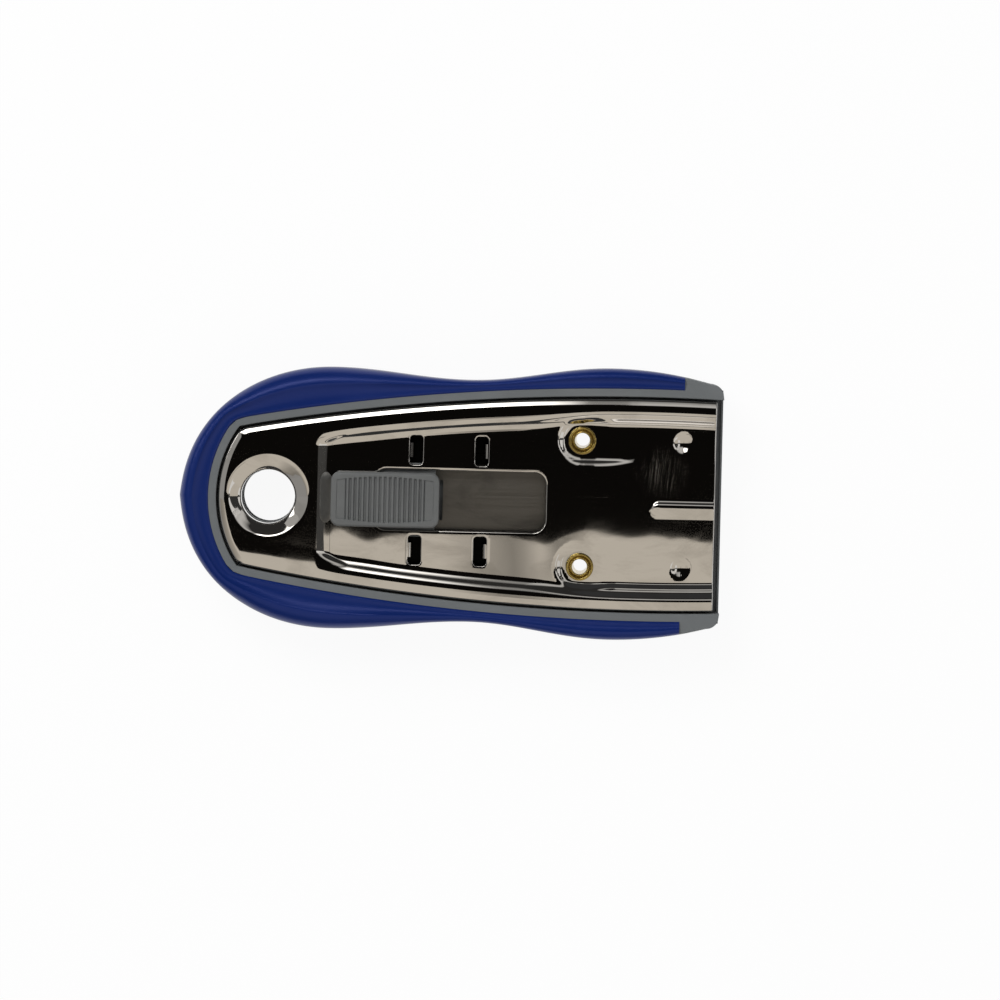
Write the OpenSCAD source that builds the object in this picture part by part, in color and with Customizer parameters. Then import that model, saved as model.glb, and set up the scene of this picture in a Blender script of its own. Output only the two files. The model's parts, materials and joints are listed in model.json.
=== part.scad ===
// Razor blade scraper: a pressed steel blade housing in a rigid handle with a soft grip.
// X runs from the rear tip to the blade, Y across the tool and Z up through the steel face.
// Stations along X are counted from the rear tip, and placed() then moves the origin to the
// middle of the flat back. Lengths are in millimetres.

/* [Tool] */
// Length from the rear tip to the front lip
tool_l = 103; // [99:1:110]
// Height of the grip from the flat back to its ridge
grip_h = 15; // [14:0.5:18]

/* [Grip outline] */
// Length of the round rear end
rear_l = 29; // [27:0.5:31]
// Bulge of the round rear end over the rigid rim's widest half width
rear_band = 2.76; // [2:0.02:4]
// Station of the waist
waist_x = 55; // [50:1:60]
// Bulge at the waist, measured the same way
waist_band = 0.85; // [0.5:0.05:2]
// Distance of the hips behind the front lip
hip_back = 21; // [16:1:26]
// Bulge at the hips, measured the same way
hip_band = 3.7; // [2.5:0.1:5]
// Bulge at the front corners, measured the same way
front_band = 0.5; // [0.3:0.05:2]
// Length of the bare rigid corners in front of the rubber
corner_l = 5.9; // [4:0.1:9]
// Radius of the front corners, seen from above
corner_r = 1.6; // [0.8:0.1:2.5]

/* [Grip section] */
// Rise of the rubber's edge over the rigid rim
edge_lift = 0.2; // [0:0.05:0.4]
// Rubber width at which the ridge reaches its full height
ridge_full_w = 6; // [4:0.5:8]
// Share of the rubber's width that lies inside the ridge
ridge_share = 0.6; // [0.4:0.05:0.7]
// Share of the rubber's width that tucks in under the tool
tuck_share = 0.4; // [0.2:0.05:0.5]
// Share of the grip's height at its widest level
belly_share = 0.5; // [0.35:0.05:0.6]

/* [Rigid handle] */
// Drop of the rigid rim below the ridge
rim_drop = 1; // [0.6:0.1:1.4]
// Width of the rim that shows round the steel
rim_w = 1.25; // [1:0.05:2]
// Gap between the steel and the rim
pocket_gap = 0.75; // [0.3:0.05:1]
// Thickness of the floor under the blade housing
floor_t = 2; // [1.5:0.1:2.5]
// Wall of the hollow underside
hollow_wall = 1.8; // [1.2:0.1:3]
// Wall between the hollow and the front lip
front_wall = 3; // [2:0.1:5]
// Thickness of the ribs in the hollow
rib_t = 1.2; // [0.8:0.1:2]
// Distance of the long ribs from the middle
rib_y = 8.5; // [7:0.5:10]
// Wall of the bosses round the holes
boss_wall = 1.8; // [1.2:0.1:2.5]
// Thickness of the back cover
cover_t = 2; // [1.6:0.1:2.6]
// Height of the spigot that locates the cover in the hollow
spigot_h = 1; // [0.6:0.1:1.5]
// Wall of that spigot
spigot_wall = 1.2; // [0.8:0.1:1.8]
// Clearance round the spigot
spigot_gap = 0.15; // [0.05:0.05:0.3]

/* [Palm pad] */
// Land between the pad and the washers in front of it
pad_land = 4.4; // [2:0.1:12]
// Width of the pad
pad_w = 26; // [16:1:28]
// Corner radius of the pad
pad_r = 8; // [4:0.5:8]
// Thickness of the pad, which lies flush in the cover
pad_t = 0.8; // [0.5:0.1:1]
// Land between the hang hole and the pad
pad_ahead = 6; // [4:0.5:10]
// Number of grooves across the pad
groove_n = 7; // [3:1:9]
// Width of a groove
groove_w = 1.4; // [0.8:0.1:2]
// Depth of a groove
groove_d = 0.4; // [0.2:0.05:0.5]

/* [Steel housing] */
// Clearance between the sheet and the ends of the blade
blade_gap = 0.45; // [0.2:0.05:0.8]
// Widest station, behind the front lip
shell_wide_back = 15; // [8:1:22]
// Radius of the long sides
side_r = 410; // [350:10:500]
// Radius of the round rear end
shell_rear_r = 22.8; // [20:0.2:25]
// Station of the rear end
shell_rear_x = 7.4; // [6.5:0.1:8.5]
// Distance of the front edge behind the lip
shell_setback = 1.1; // [0.8:0.1:2]
// Softness of the rear corners
corner_soft = 0.3; // [0.1:0.05:0.6]
// Thickness of the sheet
sheet = 0.6; // [0.4:0.05:0.7]
// Rise of the crest over the rigid rim
crest_lift = 0.2; // [0:0.05:0.5]
// Radius of the rolled outer edge
edge_roll = 0.95; // [0.8:0.05:1.4]
// Distance from the edge to the top of the slope into the recess
slope_in = 2.2; // [1.8:0.1:3]
// Width of that slope
slope_w = 2.8; // [2:0.1:3.5]
// Depth of the recess
recess_depth = 0.9; // [0.7:0.1:1]
// Distance of the step behind the thumb button
recess_behind = 1.8; // [1.7:0.1:2.5]
// Length of that step
recess_ramp = 1.6; // [1.2:0.1:2.5]
// Depth of the front zone below the recess
step_depth = 0.6; // [0.4:0.05:0.7]
// Distance of the front zone inside the housing's widest half width
front_zone_in = 4.7; // [4:0.1:5.5]
// Distance of the tongue's sides inside the eyelets' centres
tongue_in = 4.1; // [3.5:0.1:5]
// Distance of the tongue's end behind the lip
tongue_back = 14.6; // [12:0.1:17]
// Width of the raised bead at the front edge
bead_w = 3.8; // [3:0.1:5]
// Length of the bead
bead_l = 12.6; // [8:0.1:12.8]
// Height of the bead
bead_h = 0.35; // [0.2:0.05:0.5]
// Clearance over the blade's spine
spine_gap = 0.75; // [0.5:0.05:1]
// Thickness of the base plate
base_t = 0.8; // [0.6:0.1:1]

/* [Hang hole] */
// Land between the countersink and the housing's rear end
hang_land = 1.2; // [1:0.1:2]
// Radius of the countersink at the steel face
sink_r = 8.2; // [7:0.1:8.4]
// Inner radius of the steel collar
collar_r = 5.4; // [5.2:0.1:5.6]
// Depth of the countersink
sink_d = 2; // [1.5:0.1:2.5]
// Radius of the hole in the handle
hang_r = 5; // [4:0.1:5.1]

/* [Window] */
// Distance of the window in front of the hang hole's centre
window_ahead = 20.2; // [19:0.1:23]
// Distance of the window's front end behind the eyelets' centres
window_behind = 6.7; // [5.5:0.1:8]
// Width of the window
window_w = 11.4; // [11:0.1:12]
// Corner radius of the window
window_r = 2.35; // [1:0.05:3]
// Places of the guide slots, as shares of the window's length
slot_shares = [0.24, 0.622];
// Land between the window and a guide slot
slot_land = 1.05; // [0.8:0.05:1.5]
// Size of a slot along the tool
slot_l = 2.45; // [2.2:0.05:3]
// Size of a slot across the tool
slot_w = 5.5; // [4:0.1:6]
// Corner radius of a slot
slot_r = 0.6; // [0.3:0.05:0.9]
// Width of the tab bent down from a slot
tab_w = 2.7; // [2:0.1:3.2]
// Width of the notches beside a tab
notch_w = 0.4; // [0.2:0.05:0.6]

/* [Eyelets] */
// Gap between a spacer and the blade's spine in front of it
eyelet_behind = 1.25; // [1.1:0.05:2]
// Distance of the eyelets' centres inside the housing's widest half width
eyelet_in = 8.1; // [7:0.1:9]
// Inner radius of an eyelet
eyelet_r = 1.44; // [1.2:0.02:1.6]
// Wall of an eyelet
eyelet_wall = 0.36; // [0.25:0.01:0.45]
// Radius of the rolled flange
flange_r = 2.64; // [2.5:0.02:3]
// Height of the rolled flange
flange_h = 0.6; // [0.4:0.05:0.6]
// Radius of the pocket round an eyelet
eyelet_pocket_r = 4.45; // [4:0.05:4.8]
// Clearance between an eyelet and the sheets that it holds
eyelet_gap = 0.1; // [0.05:0.05:0.15]
// Radius of a spacer
spacer_r = 2.9; // [2.7:0.05:3.1]
// Radius of a washer
washer_r = 3.8; // [3.4:0.1:4.2]
// Thickness of a washer
washer_t = 0.5; // [0.3:0.05:0.5]
// Clearance round a washer
washer_gap = 0.3; // [0.2:0.05:0.5]
// Depth of the flange's end above the flat back
flange_sink = 0.2; // [0.1:0.05:0.4]

/* [Dimples] */
// Distance of the two dimples behind the lip
dimple_back = 7.6; // [6:0.1:9]
// Distance of the dimples inside the housing's widest half width
dimple_in = 8.3; // [7:0.1:10]
// Radius of a dimple
dimple_r = 2; // [1.5:0.1:2.5]
// Depth of a dimple
dimple_d = 0.4; // [0.2:0.05:0.45]

/* [Blade] */
// Length of the cutting edge
blade_w = 38.1; // [38:0.1:38.2]
// Depth of the blade from the back of its spine to the edge
blade_l = 19.05; // [18.9:0.05:19.2]
// Thickness of the blade
blade_t = 0.23; // [0.2:0.01:0.3]
// Width of the ground bevel
bevel_l = 1.6; // [1:0.1:2.5]
// Distance of the edge behind the lip when the blade is in
blade_rest = 3.5; // [3.2:0.1:3.6]
// Depth of the folded spine
spine_l = 4; // [3.5:0.1:4.5]
// Thickness of the folded spine
spine_t = 1; // [0.9:0.02:1.1]
// Wall of the spine behind the blade
spine_wall = 0.5; // [0.3:0.05:0.6]
// Length of a notch in the blade's sides
notch_l = 2.6; // [2.2:0.1:3]
// Depth of that notch
notch_d = 1.7; // [1.5:0.1:2]

/* [Blade carrier] */
// Gap left in front of the neck when the blade is out
travel_gap = 1.9; // [0.5:0.1:5]
// Thickness of the carrier plate
carrier_t = 0.7; // [0.6:0.05:0.8]
// Running clearance of the carrier
run_gap = 0.15; // [0.1:0.05:0.2]
// Gap between the carrier and what stops it
stop_gap = 0.3; // [0.2:0.05:0.5]
// Distance of the carrier's rear end in front of the collar
carrier_ahead = 1.6; // [1:0.1:3]
// Reach of the carrier's wide part beyond the tabs
wide_reach = 0.55; // [0.2:0.05:1]
// Distance of the head's sides inside the ends of the blade
head_in = 0.55; // [0.3:0.05:0.8]
// Length of the head in front of the spine
head_ahead = 3.6; // [3:0.1:5]
// Thickness of the wall that pushes the spine
push_t = 0.7; // [0.5:0.05:0.8]
// Half width of that wall
push_half_w = 8; // [6:0.1:8.5]
// Height of that wall over the carrier plate
push_h = 0.9; // [0.6:0.05:0.95]
// Clearance round the fingers that hold the blade
finger_gap = 0.25; // [0.15:0.05:0.4]

/* [Thumb button] */
// Length of the cap
cap_l = 20.4; // [18:0.1:21]
// Width of the cap
cap_w = 10.4; // [9:0.1:10.8]
// Height of the cap
cap_h = 3; // [2.4:0.1:4]
// Corner radius of the cap
cap_r = 1.7; // [1:0.1:2.5]
// Overhang of the cap behind the window
cap_rear = 8.6; // [8:0.1:9]
// Way that the button presses down
press = 0.6; // [0.3:0.05:0.6]
// Clearance under the pressed cap
cap_gap = 0.3; // [0.2:0.05:0.5]
// Half width of the neck in the window
neck_half_w = 3.5; // [3:0.1:4.5]
// Clearance behind the neck
neck_gap = 0.4; // [0.3:0.05:0.6]
// How far the neck shows in front of the cap
neck_ahead = 0.9; // [0.5:0.1:1.5]
// Reach of the foot under each side of the window
foot_under = 1.3; // [0.8:0.1:2]
// Thickness of the foot
foot_t = 0.9; // [0.7:0.05:1]
// Clearance over the foot
foot_gap = 0.2; // [0.1:0.05:0.3]
// Length of each driving lug
lug_l = 1.5; // [1.2:0.1:2]
// Clearance in front of and behind the lugs
lug_gap = 0.3; // [0.2:0.05:0.5]
// Depth of the ribbed panel's frame
panel_d = 0.35; // [0.2:0.05:0.5]
// Distance of the panel from the cap's ends
panel_end = 1.1; // [0.8:0.1:1.5]
// Distance of the panel from the cap's sides in the middle
panel_side = 0.9; // [0.5:0.1:1.5]
// Bow of the panel's sides
panel_bow = 0.65; // [0:0.05:1]
// Number of ribs for the thumb
grip_rib_n = 16; // [10:1:18]
// Pitch of the ribs
grip_rib_pitch = 0.95; // [0.8:0.05:1]
// Width of a rib
grip_rib_w = 0.5; // [0.3:0.05:0.6]

/* [Button spring] */
// Thickness of the leaf
leaf_t = 0.25; // [0.15:0.05:0.35]
// Half width of the leaf
leaf_half_w = 3; // [2:0.1:4]
// Clearance between the leaf and the lugs
leaf_gap = 0.4; // [0.2:0.1:0.8]
// Length of the leaf's flat crest
leaf_crest = 2; // [1:0.1:3]
// Length of each of the leaf's flat ends
leaf_end = 0.8; // [0.5:0.1:1.2]

/* [Hidden] */
$fn = 48;

// Overrun of every cut
over = 0.4;
// Steps along a long side, round the rear end, along a corner, a roll, a slope and a section
side_n = 16;
ray_n = 28;
corner_n = 4;
roll_n = 4;
slope_n = 5;
land_n = 3;
bulge_n = 6;
tuck_n = 5;
panel_n = 8;
leaf_n = 6;
// Growth of the corner softness with an outline's growth, and its least share
soft_growth_share = 0.15;
soft_least_share = 0.5;

// Colours
grip_blue = [0.13, 0.16, 0.42];
rigid_grey = [0.42, 0.43, 0.45];
bright_steel = [0.72, 0.70, 0.67];
plain_steel = [0.5, 0.5, 0.5];
blade_steel = [0.8, 0.8, 0.82];
gold_brass = [0.72, 0.58, 0.25];

// Half widths of the steel housing and of the rigid rim, at their widest
shell_half_w = blade_w / 2 + blade_gap + sheet;
border_g = pocket_gap + rim_w;
rim_half_w = shell_half_w + border_g;

// Levels above the flat back
rim_z = grip_h - rim_drop;
edge_z = rim_z + edge_lift;
belly_z = grip_h * belly_share;
crest_z = rim_z + crest_lift;
plateau_z = crest_z - recess_depth;
front_z = plateau_z - step_depth;
channel_h = run_gap + carrier_t + spine_t + spine_gap;
base_z = front_z - sheet - channel_h;
floor_z = base_z - base_t;
under_z = floor_z - floor_t;
carrier_z = base_z + run_gap;
carrier_top = carrier_z + carrier_t;
spine_top = carrier_top + spine_t;
blade_z = carrier_top + (spine_t - blade_t) / 2;
foot_top = plateau_z - sheet - foot_gap;
foot_z = foot_top - foot_t;
cap_z = plateau_z + press + cap_gap;
cap_top = cap_z + cap_h;
washer_z = flange_sink + flange_h;
pocket_z = washer_z + washer_t;

// Stations and growths of the outlines
fan_x = rear_l;
sleeve_x = tool_l - corner_l;
hip_x = tool_l - hip_back;
side_x = tool_l - shell_wide_back;
side_drop = side_r - shell_half_w;
shell_rear_c = shell_rear_x + shell_rear_r;
shell_x = tool_l - shell_setback;
rear_half_w = rim_half_w + rear_band;
waist_half_w = rim_half_w + waist_band;
hip_half_w = rim_half_w + hip_band;
front_half_w = rim_half_w + front_band;
collar_out_r = collar_r + sheet;
collar_gap = eyelet_gap;
hang_x = shell_rear_x + hang_land + sink_r;
blade_x = tool_l - blade_rest;
spine_x = blade_x - blade_l;
barrel_r = eyelet_r + eyelet_wall;
hold_r = barrel_r + eyelet_gap;
eyelet_x = spine_x - eyelet_behind - spacer_r;
eyelet_y = shell_half_w - eyelet_in;
window_x = hang_x + window_ahead;
window_l = eyelet_x - window_behind - window_x;
slot_y = window_w / 2 + slot_land + slot_w / 2;
front_zone_half_w = shell_half_w - front_zone_in;
tongue_half_w = eyelet_y - tongue_in;
dimple_y = shell_half_w - dimple_in;
cap_x = window_x - cap_rear;
recess_x = cap_x - recess_behind;
neck_x = window_x + neck_gap;
neck_end = cap_x + cap_l + neck_ahead;
travel = window_x + window_l - neck_end - travel_gap;
foot_half_w = window_w / 2 + foot_under;
panel_mid_w = cap_w / 2 - panel_side;
panel_end_w = panel_mid_w - panel_bow;
carrier_x = hang_x + collar_out_r + carrier_ahead;
wide_half_w = slot_y + tab_w / 2 + wide_reach;
head_half_w = blade_w / 2 - head_in;
head_x = eyelet_x + spacer_r + stop_gap;
wide_x = eyelet_x - spacer_r - stop_gap - travel;
stem_half_w = eyelet_y - spacer_r - stop_gap;
pad_x = hang_x + hang_r + pad_ahead;
pad_l = eyelet_x - washer_r - washer_gap - pad_land - pad_x;

function side_w(x, g) = sqrt(pow(side_r + g, 2) - pow(x - side_x, 2)) - side_drop;

// Way from the fan point to the side's circle, along a ray at angle a from the rear
function ray_to_side(a, g) =
    let (b = sin(a) * side_drop - cos(a) * (fan_x - side_x),
         c = pow(fan_x - side_x, 2) + pow(side_drop, 2) - pow(side_r + g, 2))
    sqrt(b * b - c) - b;

function ray_to_rear(a, g) =
    let (b = -cos(a) * (fan_x - shell_rear_c),
         c = pow(fan_x - shell_rear_c, 2) - pow(shell_rear_r + g, 2))
    sqrt(b * b - c) - b;

// The lesser of two lengths, with a soft change from one to the other
function soft_min(p, q, k) = min(p, q) - k * ln(1 + exp(-abs(p - q) / k));

function softness(g) = max(corner_soft + soft_growth_share * g, soft_least_share * corner_soft);

function rear_ray(a, g) = soft_min(ray_to_side(a, g), ray_to_rear(a, g), softness(g));

function flip(pts) = [for (i = [len(pts) - 1 : -1 : 0]) [pts[i][0], -pts[i][1]]];

function rear_angle(j) = 90 - 90 * j / ray_n;

function station(i, x1) = x1 + (fan_x - x1) * i / side_n;

// One half of the housing's outline grown by g, from the station x1 to just before the rear
function half_plan(g, x1) = concat(
    [for (i = [0 : side_n]) [station(i, x1), side_w(station(i, x1), g)]],
    [for (j = [1 : ray_n - 1]) let (a = rear_angle(j), t = rear_ray(a, g))
        [fan_x - t * cos(a), t * sin(a)]]);

function plan(g, x1) = let (h = half_plan(g, x1))
    concat(h, [[fan_x - rear_ray(0, g), 0]], flip(h));

// The same outline with a straight stretch from the end of the rubber to the station x2
function long_plan(g, x2) = concat(
    [[x2, side_w(x2, g)]], plan(g, sleeve_x), [[x2, -side_w(x2, g)]]);

function ease(a, b, t) = a + (b - a) * (1 - cos(180 * t)) / 2;

// Half width of the whole tool at a station in front of the round rear end
function grip_w(x) =
    x < waist_x ? ease(rear_half_w, waist_half_w, (x - rear_l) / (waist_x - rear_l)) :
    x < hip_x ? ease(waist_half_w, hip_half_w, (x - waist_x) / (hip_x - waist_x)) :
    hip_half_w - (hip_half_w - front_half_w) * pow((x - hip_x) / hip_back, 2);

function grip_ray(a) = 1 / sqrt(pow(cos(a) / rear_l, 2) + pow(sin(a) / rear_half_w, 2));

// One half of the grip's outline, point for point beside half_plan(g, sleeve_x)
function half_grip() = concat(
    [for (i = [0 : side_n]) [station(i, sleeve_x), grip_w(station(i, sleeve_x))]],
    [for (j = [1 : ray_n - 1]) let (a = rear_angle(j), t = grip_ray(a))
        [fan_x - t * cos(a), t * sin(a)]]);

function grip_plan() = let (h = half_grip()) concat(h, [[0, 0]], flip(h));

// Section of the rubber where it is w wide: shares of the width, with levels.
// It goes up the inner wall, along the land to the ridge, round the bulge and under.
function section(w) =
    let (ridge_z = edge_z + (grip_h - edge_z) * min(1, w / ridge_full_w))
    concat(
        [[0, 0]],
        [for (i = [0 : land_n]) let (s = i / land_n)
            [ridge_share * s, edge_z + (ridge_z - edge_z) * s * s]],
        [for (i = [1 : bulge_n]) let (a = 90 * i / bulge_n)
            [ridge_share + (1 - ridge_share) * sin(a), belly_z + (ridge_z - belly_z) * cos(a)]],
        [for (i = [1 : tuck_n]) let (a = 90 * i / tuck_n)
            [1 - tuck_share * (1 - cos(a)), belly_z * (1 - sin(a))]]);

function section_ring(p, q, top) = [for (s = section(norm(q - p)))
    let (m = p + (q - p) * s[0]) [m[0], m[1], min(s[1], top)]];

// Solid through a stack of rings with equal numbers of points
module loft(rings) {
    n = len(rings[0]);
    m = len(rings);
    polyhedron(
        points = [for (ring = rings) each ring],
        faces = concat(
            [[for (i = [0 : n - 1]) i]],
            [for (k = [0 : m - 2]) for (i = [0 : n - 1])
                [k * n + i, k * n + n + i, k * n + (i + 1) % n]],
            [for (k = [0 : m - 2]) for (i = [0 : n - 1])
                [k * n + n + i, k * n + n + (i + 1) % n, k * n + (i + 1) % n]],
            [[for (i = [n - 1 : -1 : 0]) (m - 1) * n + i]]),
        convexity = 6);
}

function at_level(pts, z) = [for (p = pts) [p[0], p[1], z]];

module placed() {
    translate([-tool_l / 2, 0, 0])
        children();
}

module both_sides() {
    children();
    mirror([0, 1, 0])
        children();
}

module slab(pts, z0, z1) {
    translate([0, 0, z0])
        linear_extrude(z1 - z0)
            polygon(pts);
}

module box(x0, x1, half_w, z0, z1) {
    translate([x0, -half_w, z0])
        cube([x1 - x0, 2 * half_w, z1 - z0]);
}

module drill(x, y, r, z0, z1) {
    translate([x, y, z0])
        cylinder(h = z1 - z0, r = r);
}

// Flat rectangle with round corners, from the station x0 and centred on the middle line
module round_rect(x0, l, w, r) {
    translate([x0, -w / 2 + r])
        square([l, w - 2 * r]);
    translate([x0 + r, -w / 2])
        square([l - 2 * r, w]);
    for (x = [x0 + r, x0 + l - r], y = [r - w / 2, w / 2 - r])
        translate([x, y])
            circle(r);
}

module bar(x0, l, w, r, z0, z1) {
    translate([0, 0, z0])
        linear_extrude(z1 - z0)
            round_rect(x0, l, w, r);
}

// Half width of the bare front corner, which is round in plan
function corner_w(x) =
    let (from = tool_l - corner_r)
    x < from ? grip_w(x) : grip_w(from) - corner_r + sqrt(max(0, pow(corner_r, 2) - pow(x - from, 2)));

function corner_x(i) = i == 0 ? sleeve_x : tool_l - corner_r * (1 - sin(90 * (i - 1) / corner_n));

// Rigid corner beside the steel, with the rubber's section cut off level with the rim
module front_corner() {
    loft([for (i = [corner_n + 1 : -1 : 0])
        let (x = corner_x(i))
        section_ring([x, side_w(x, border_g) - rim_w / 2], [x, corner_w(x)], rim_z)]);
}

module handle_frame() {
    hollow_g = border_g - hollow_wall;
    hollow_x = tool_l - front_wall;
    color(rigid_grey)
    placed()
    difference() {
        union() {
            difference() {
                union() {
                    slab(long_plan(border_g, tool_l), cover_t, rim_z);
                    both_sides()
                        intersection() {
                            front_corner();
                            box(0, tool_l, hip_half_w, cover_t, rim_z);
                        }
                }
                slab(plan(pocket_gap, shell_x + pocket_gap), floor_z, rim_z + over);
                slab(long_plan(pocket_gap, tool_l + over), base_z, rim_z + over);
                slab(long_plan(hollow_g, hollow_x), cover_t - over, under_z);
            }
            drill(hang_x, 0, collar_out_r + boss_wall, cover_t, floor_z);
            both_sides()
                drill(eyelet_x, eyelet_y, hold_r + boss_wall, cover_t, floor_z);
            intersection() {
                slab(long_plan(hollow_g + rib_t / 2, hollow_x + rib_t / 2), cover_t + spigot_h, floor_z);
                both_sides()
                    translate([hang_x, rib_y - rib_t / 2, cover_t + spigot_h])
                        cube([tool_l - hang_x, rib_t, floor_z - cover_t - spigot_h]);
            }
        }
        drill(hang_x, 0, collar_out_r + collar_gap, under_z, floor_z + over);
        drill(hang_x, 0, hang_r, cover_t - over, floor_z + over);
        both_sides()
            drill(eyelet_x, eyelet_y, hold_r, cover_t - over, floor_z + over);
    }
}

module handle_back() {
    spigot_g = border_g - hollow_wall - spigot_gap;
    spigot_x = tool_l - front_wall - spigot_gap;
    color(rigid_grey)
    placed()
    difference() {
        union() {
            slab(long_plan(border_g, tool_l), 0, cover_t);
            both_sides()
                intersection() {
                    front_corner();
                    box(0, tool_l, hip_half_w, 0, cover_t);
                }
            difference() {
                slab(long_plan(spigot_g, spigot_x), cover_t, cover_t + spigot_h - spigot_gap);
                slab(long_plan(spigot_g - spigot_wall, spigot_x - spigot_wall),
                     cover_t, cover_t + spigot_h + over);
                drill(hang_x, 0, collar_out_r + boss_wall + spigot_gap, cover_t, cover_t + spigot_h + over);
                both_sides()
                    drill(eyelet_x, eyelet_y, hold_r + boss_wall + spigot_gap,
                          cover_t, cover_t + spigot_h + over);
            }
        }
        drill(hang_x, 0, hang_r, -over, cover_t + over);
        both_sides() {
            drill(eyelet_x, eyelet_y, hold_r, -over, cover_t + over);
            drill(eyelet_x, eyelet_y, washer_r + washer_gap, -over, pocket_z);
        }
        bar(pad_x, pad_l, pad_w, pad_r, -over, pad_t);
    }
}

module grip_sleeve() {
    inner = plan(border_g, sleeve_x);
    outer = grip_plan();
    color(grip_blue)
    placed()
    loft([for (i = [0 : len(inner) - 1]) section_ring(inner[i], outer[i], grip_h)]);
}

module palm_pad() {
    groove_pitch = pad_l / (groove_n + 1);
    color(grip_blue)
    placed()
    difference() {
        bar(pad_x, pad_l, pad_w, pad_r, 0, pad_t);
        for (i = [1 : groove_n])
            box(pad_x + groove_pitch * i - groove_w / 2, pad_x + groove_pitch * i + groove_w / 2,
                pad_w, -over, groove_d);
    }
}

// Outer form of the pressed housing, drawn in and down by d
module shell_form(d) {
    x1 = d > 0 ? shell_x + over : shell_x;
    top = crest_z - d;
    roll = edge_roll - d;
    difference() {
        loft(concat(
            [at_level(plan(-d, x1), d > 0 ? base_z - over : base_z)],
            [for (i = [0 : roll_n]) let (a = 90 * i / roll_n)
                at_level(plan(-d - roll * (1 - cos(a)), x1), top - roll * (1 - sin(a)))]));
        recess_cut(top);
        front_zone_cut(d);
        dimples(d);
    }
}

// Outline of the recess, drawn in by g, from beyond the front edge to the station x2
function recess_plan(g, x2) =
    let (h = [for (i = [0 : side_n]) let (x = shell_x + sheet + (x2 - shell_x - sheet) * i / side_n)
        [x, side_w(x, -g)]])
    concat(h, flip(h));

module recess_cut(top) {
    low = top - recess_depth;
    loft(concat(
        [for (i = [0 : slope_n]) let (t = i / slope_n)
            at_level(recess_plan(slope_in + slope_w * (1 - t), recess_x + recess_ramp * (1 - t)),
                     ease(low, top, t))],
        [at_level(recess_plan(slope_in, recess_x), top + recess_depth)]));
}

// Bead with a round rear end, of half width r, running out of the front edge
module bead(r, z0, z1) {
    x = shell_x - bead_l + bead_w / 2;
    drill(x, 0, r, z0, z1);
    box(x, shell_x + 2 * sheet, r, z0, z1);
}

// The lower zone round and in front of the eyelets, less its tongue and its bead
module front_zone_cut(d) {
    low = front_z - d;
    depth = step_depth + over / 2;
    difference() {
        union() {
            box(eyelet_x, shell_x + sheet, front_zone_half_w + d, low, low + depth);
            both_sides()
                drill(eyelet_x, eyelet_y, eyelet_pocket_r + d, low, low + depth);
        }
        difference() {
            union() {
                bar(eyelet_x - tongue_half_w, tool_l - tongue_back - eyelet_x + tongue_half_w - d,
                    2 * (tongue_half_w - d), tongue_half_w / 2, low - over, low + depth + over);
                bead(bead_w / 2 - d, low - over, low + bead_h);
            }
            both_sides()
                drill(eyelet_x, eyelet_y, eyelet_pocket_r + d, low - over, low + depth + over);
        }
    }
}

// Round cap of depth dimple_d, as a share of a ball
module dimples(d) {
    ball = (pow(dimple_r, 2) + pow(dimple_d, 2)) / (2 * dimple_d);
    both_sides()
        translate([tool_l - dimple_back, dimple_y, front_z - d - dimple_d + ball])
            sphere(ball);
}

module slot_place(i) {
    x = window_x + window_l * slot_shares[i] - slot_l / 2;
    both_sides()
        translate([x, slot_y, 0])
            mirror([i, 0, 0])
                translate([-i * slot_l, 0, 0])
                    children();
}

module top_shell() {
    tab_end = carrier_top + run_gap + foot_gap / 2;
    low = plateau_z - sheet;
    color(bright_steel)
    placed()
    union() {
        difference() {
            union() {
                difference() {
                    shell_form(0);
                    shell_form(sheet);
                }
                translate([hang_x, 0, 0])
                    rotate_extrude()
                        polygon([
                            [0, under_z + run_gap], [collar_out_r, under_z + run_gap],
                            [collar_out_r, crest_z - sink_d], [sink_r, crest_z - sheet],
                            [sink_r + sheet / 2, crest_z - sheet / 2], [0, crest_z - sheet / 2]]);
            }
            translate([hang_x, 0, 0])
                rotate_extrude()
                    polygon([
                        [0, under_z - over], [collar_r, under_z - over],
                        [collar_r, crest_z - sink_d], [sink_r, crest_z],
                        [sink_r, crest_z + over], [0, crest_z + over]]);
            bar(window_x, window_l, window_w, window_r, low - over, crest_z);
            for (i = [0, 1])
                slot_place(i) {
                    bar(0, slot_l, slot_w, slot_r, low - over, crest_z);
                    both_sides()
                        translate([-sheet, tab_w / 2, low - over])
                            cube([2 * sheet, notch_w, crest_z - low]);
                }
            both_sides()
                drill(eyelet_x, eyelet_y, hold_r, base_z, crest_z);
        }
        for (i = [0, 1])
            slot_place(i) {
                box(0, sheet, tab_w / 2, tab_end, plateau_z - sheet / 2);
                box(-sheet / 2, sheet, tab_w / 2, low, plateau_z);
            }
    }
}

module base_plate() {
    color(plain_steel)
    placed()
    difference() {
        slab(plan(0, shell_x), floor_z, base_z);
        drill(hang_x, 0, collar_out_r + collar_gap, floor_z - over, base_z + over);
        both_sides()
            drill(eyelet_x, eyelet_y, hold_r, floor_z - over, base_z + over);
        box(neck_x - neck_gap, neck_end + travel + neck_gap, neck_half_w + neck_gap,
            floor_z - over, base_z + over);
    }
}

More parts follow.
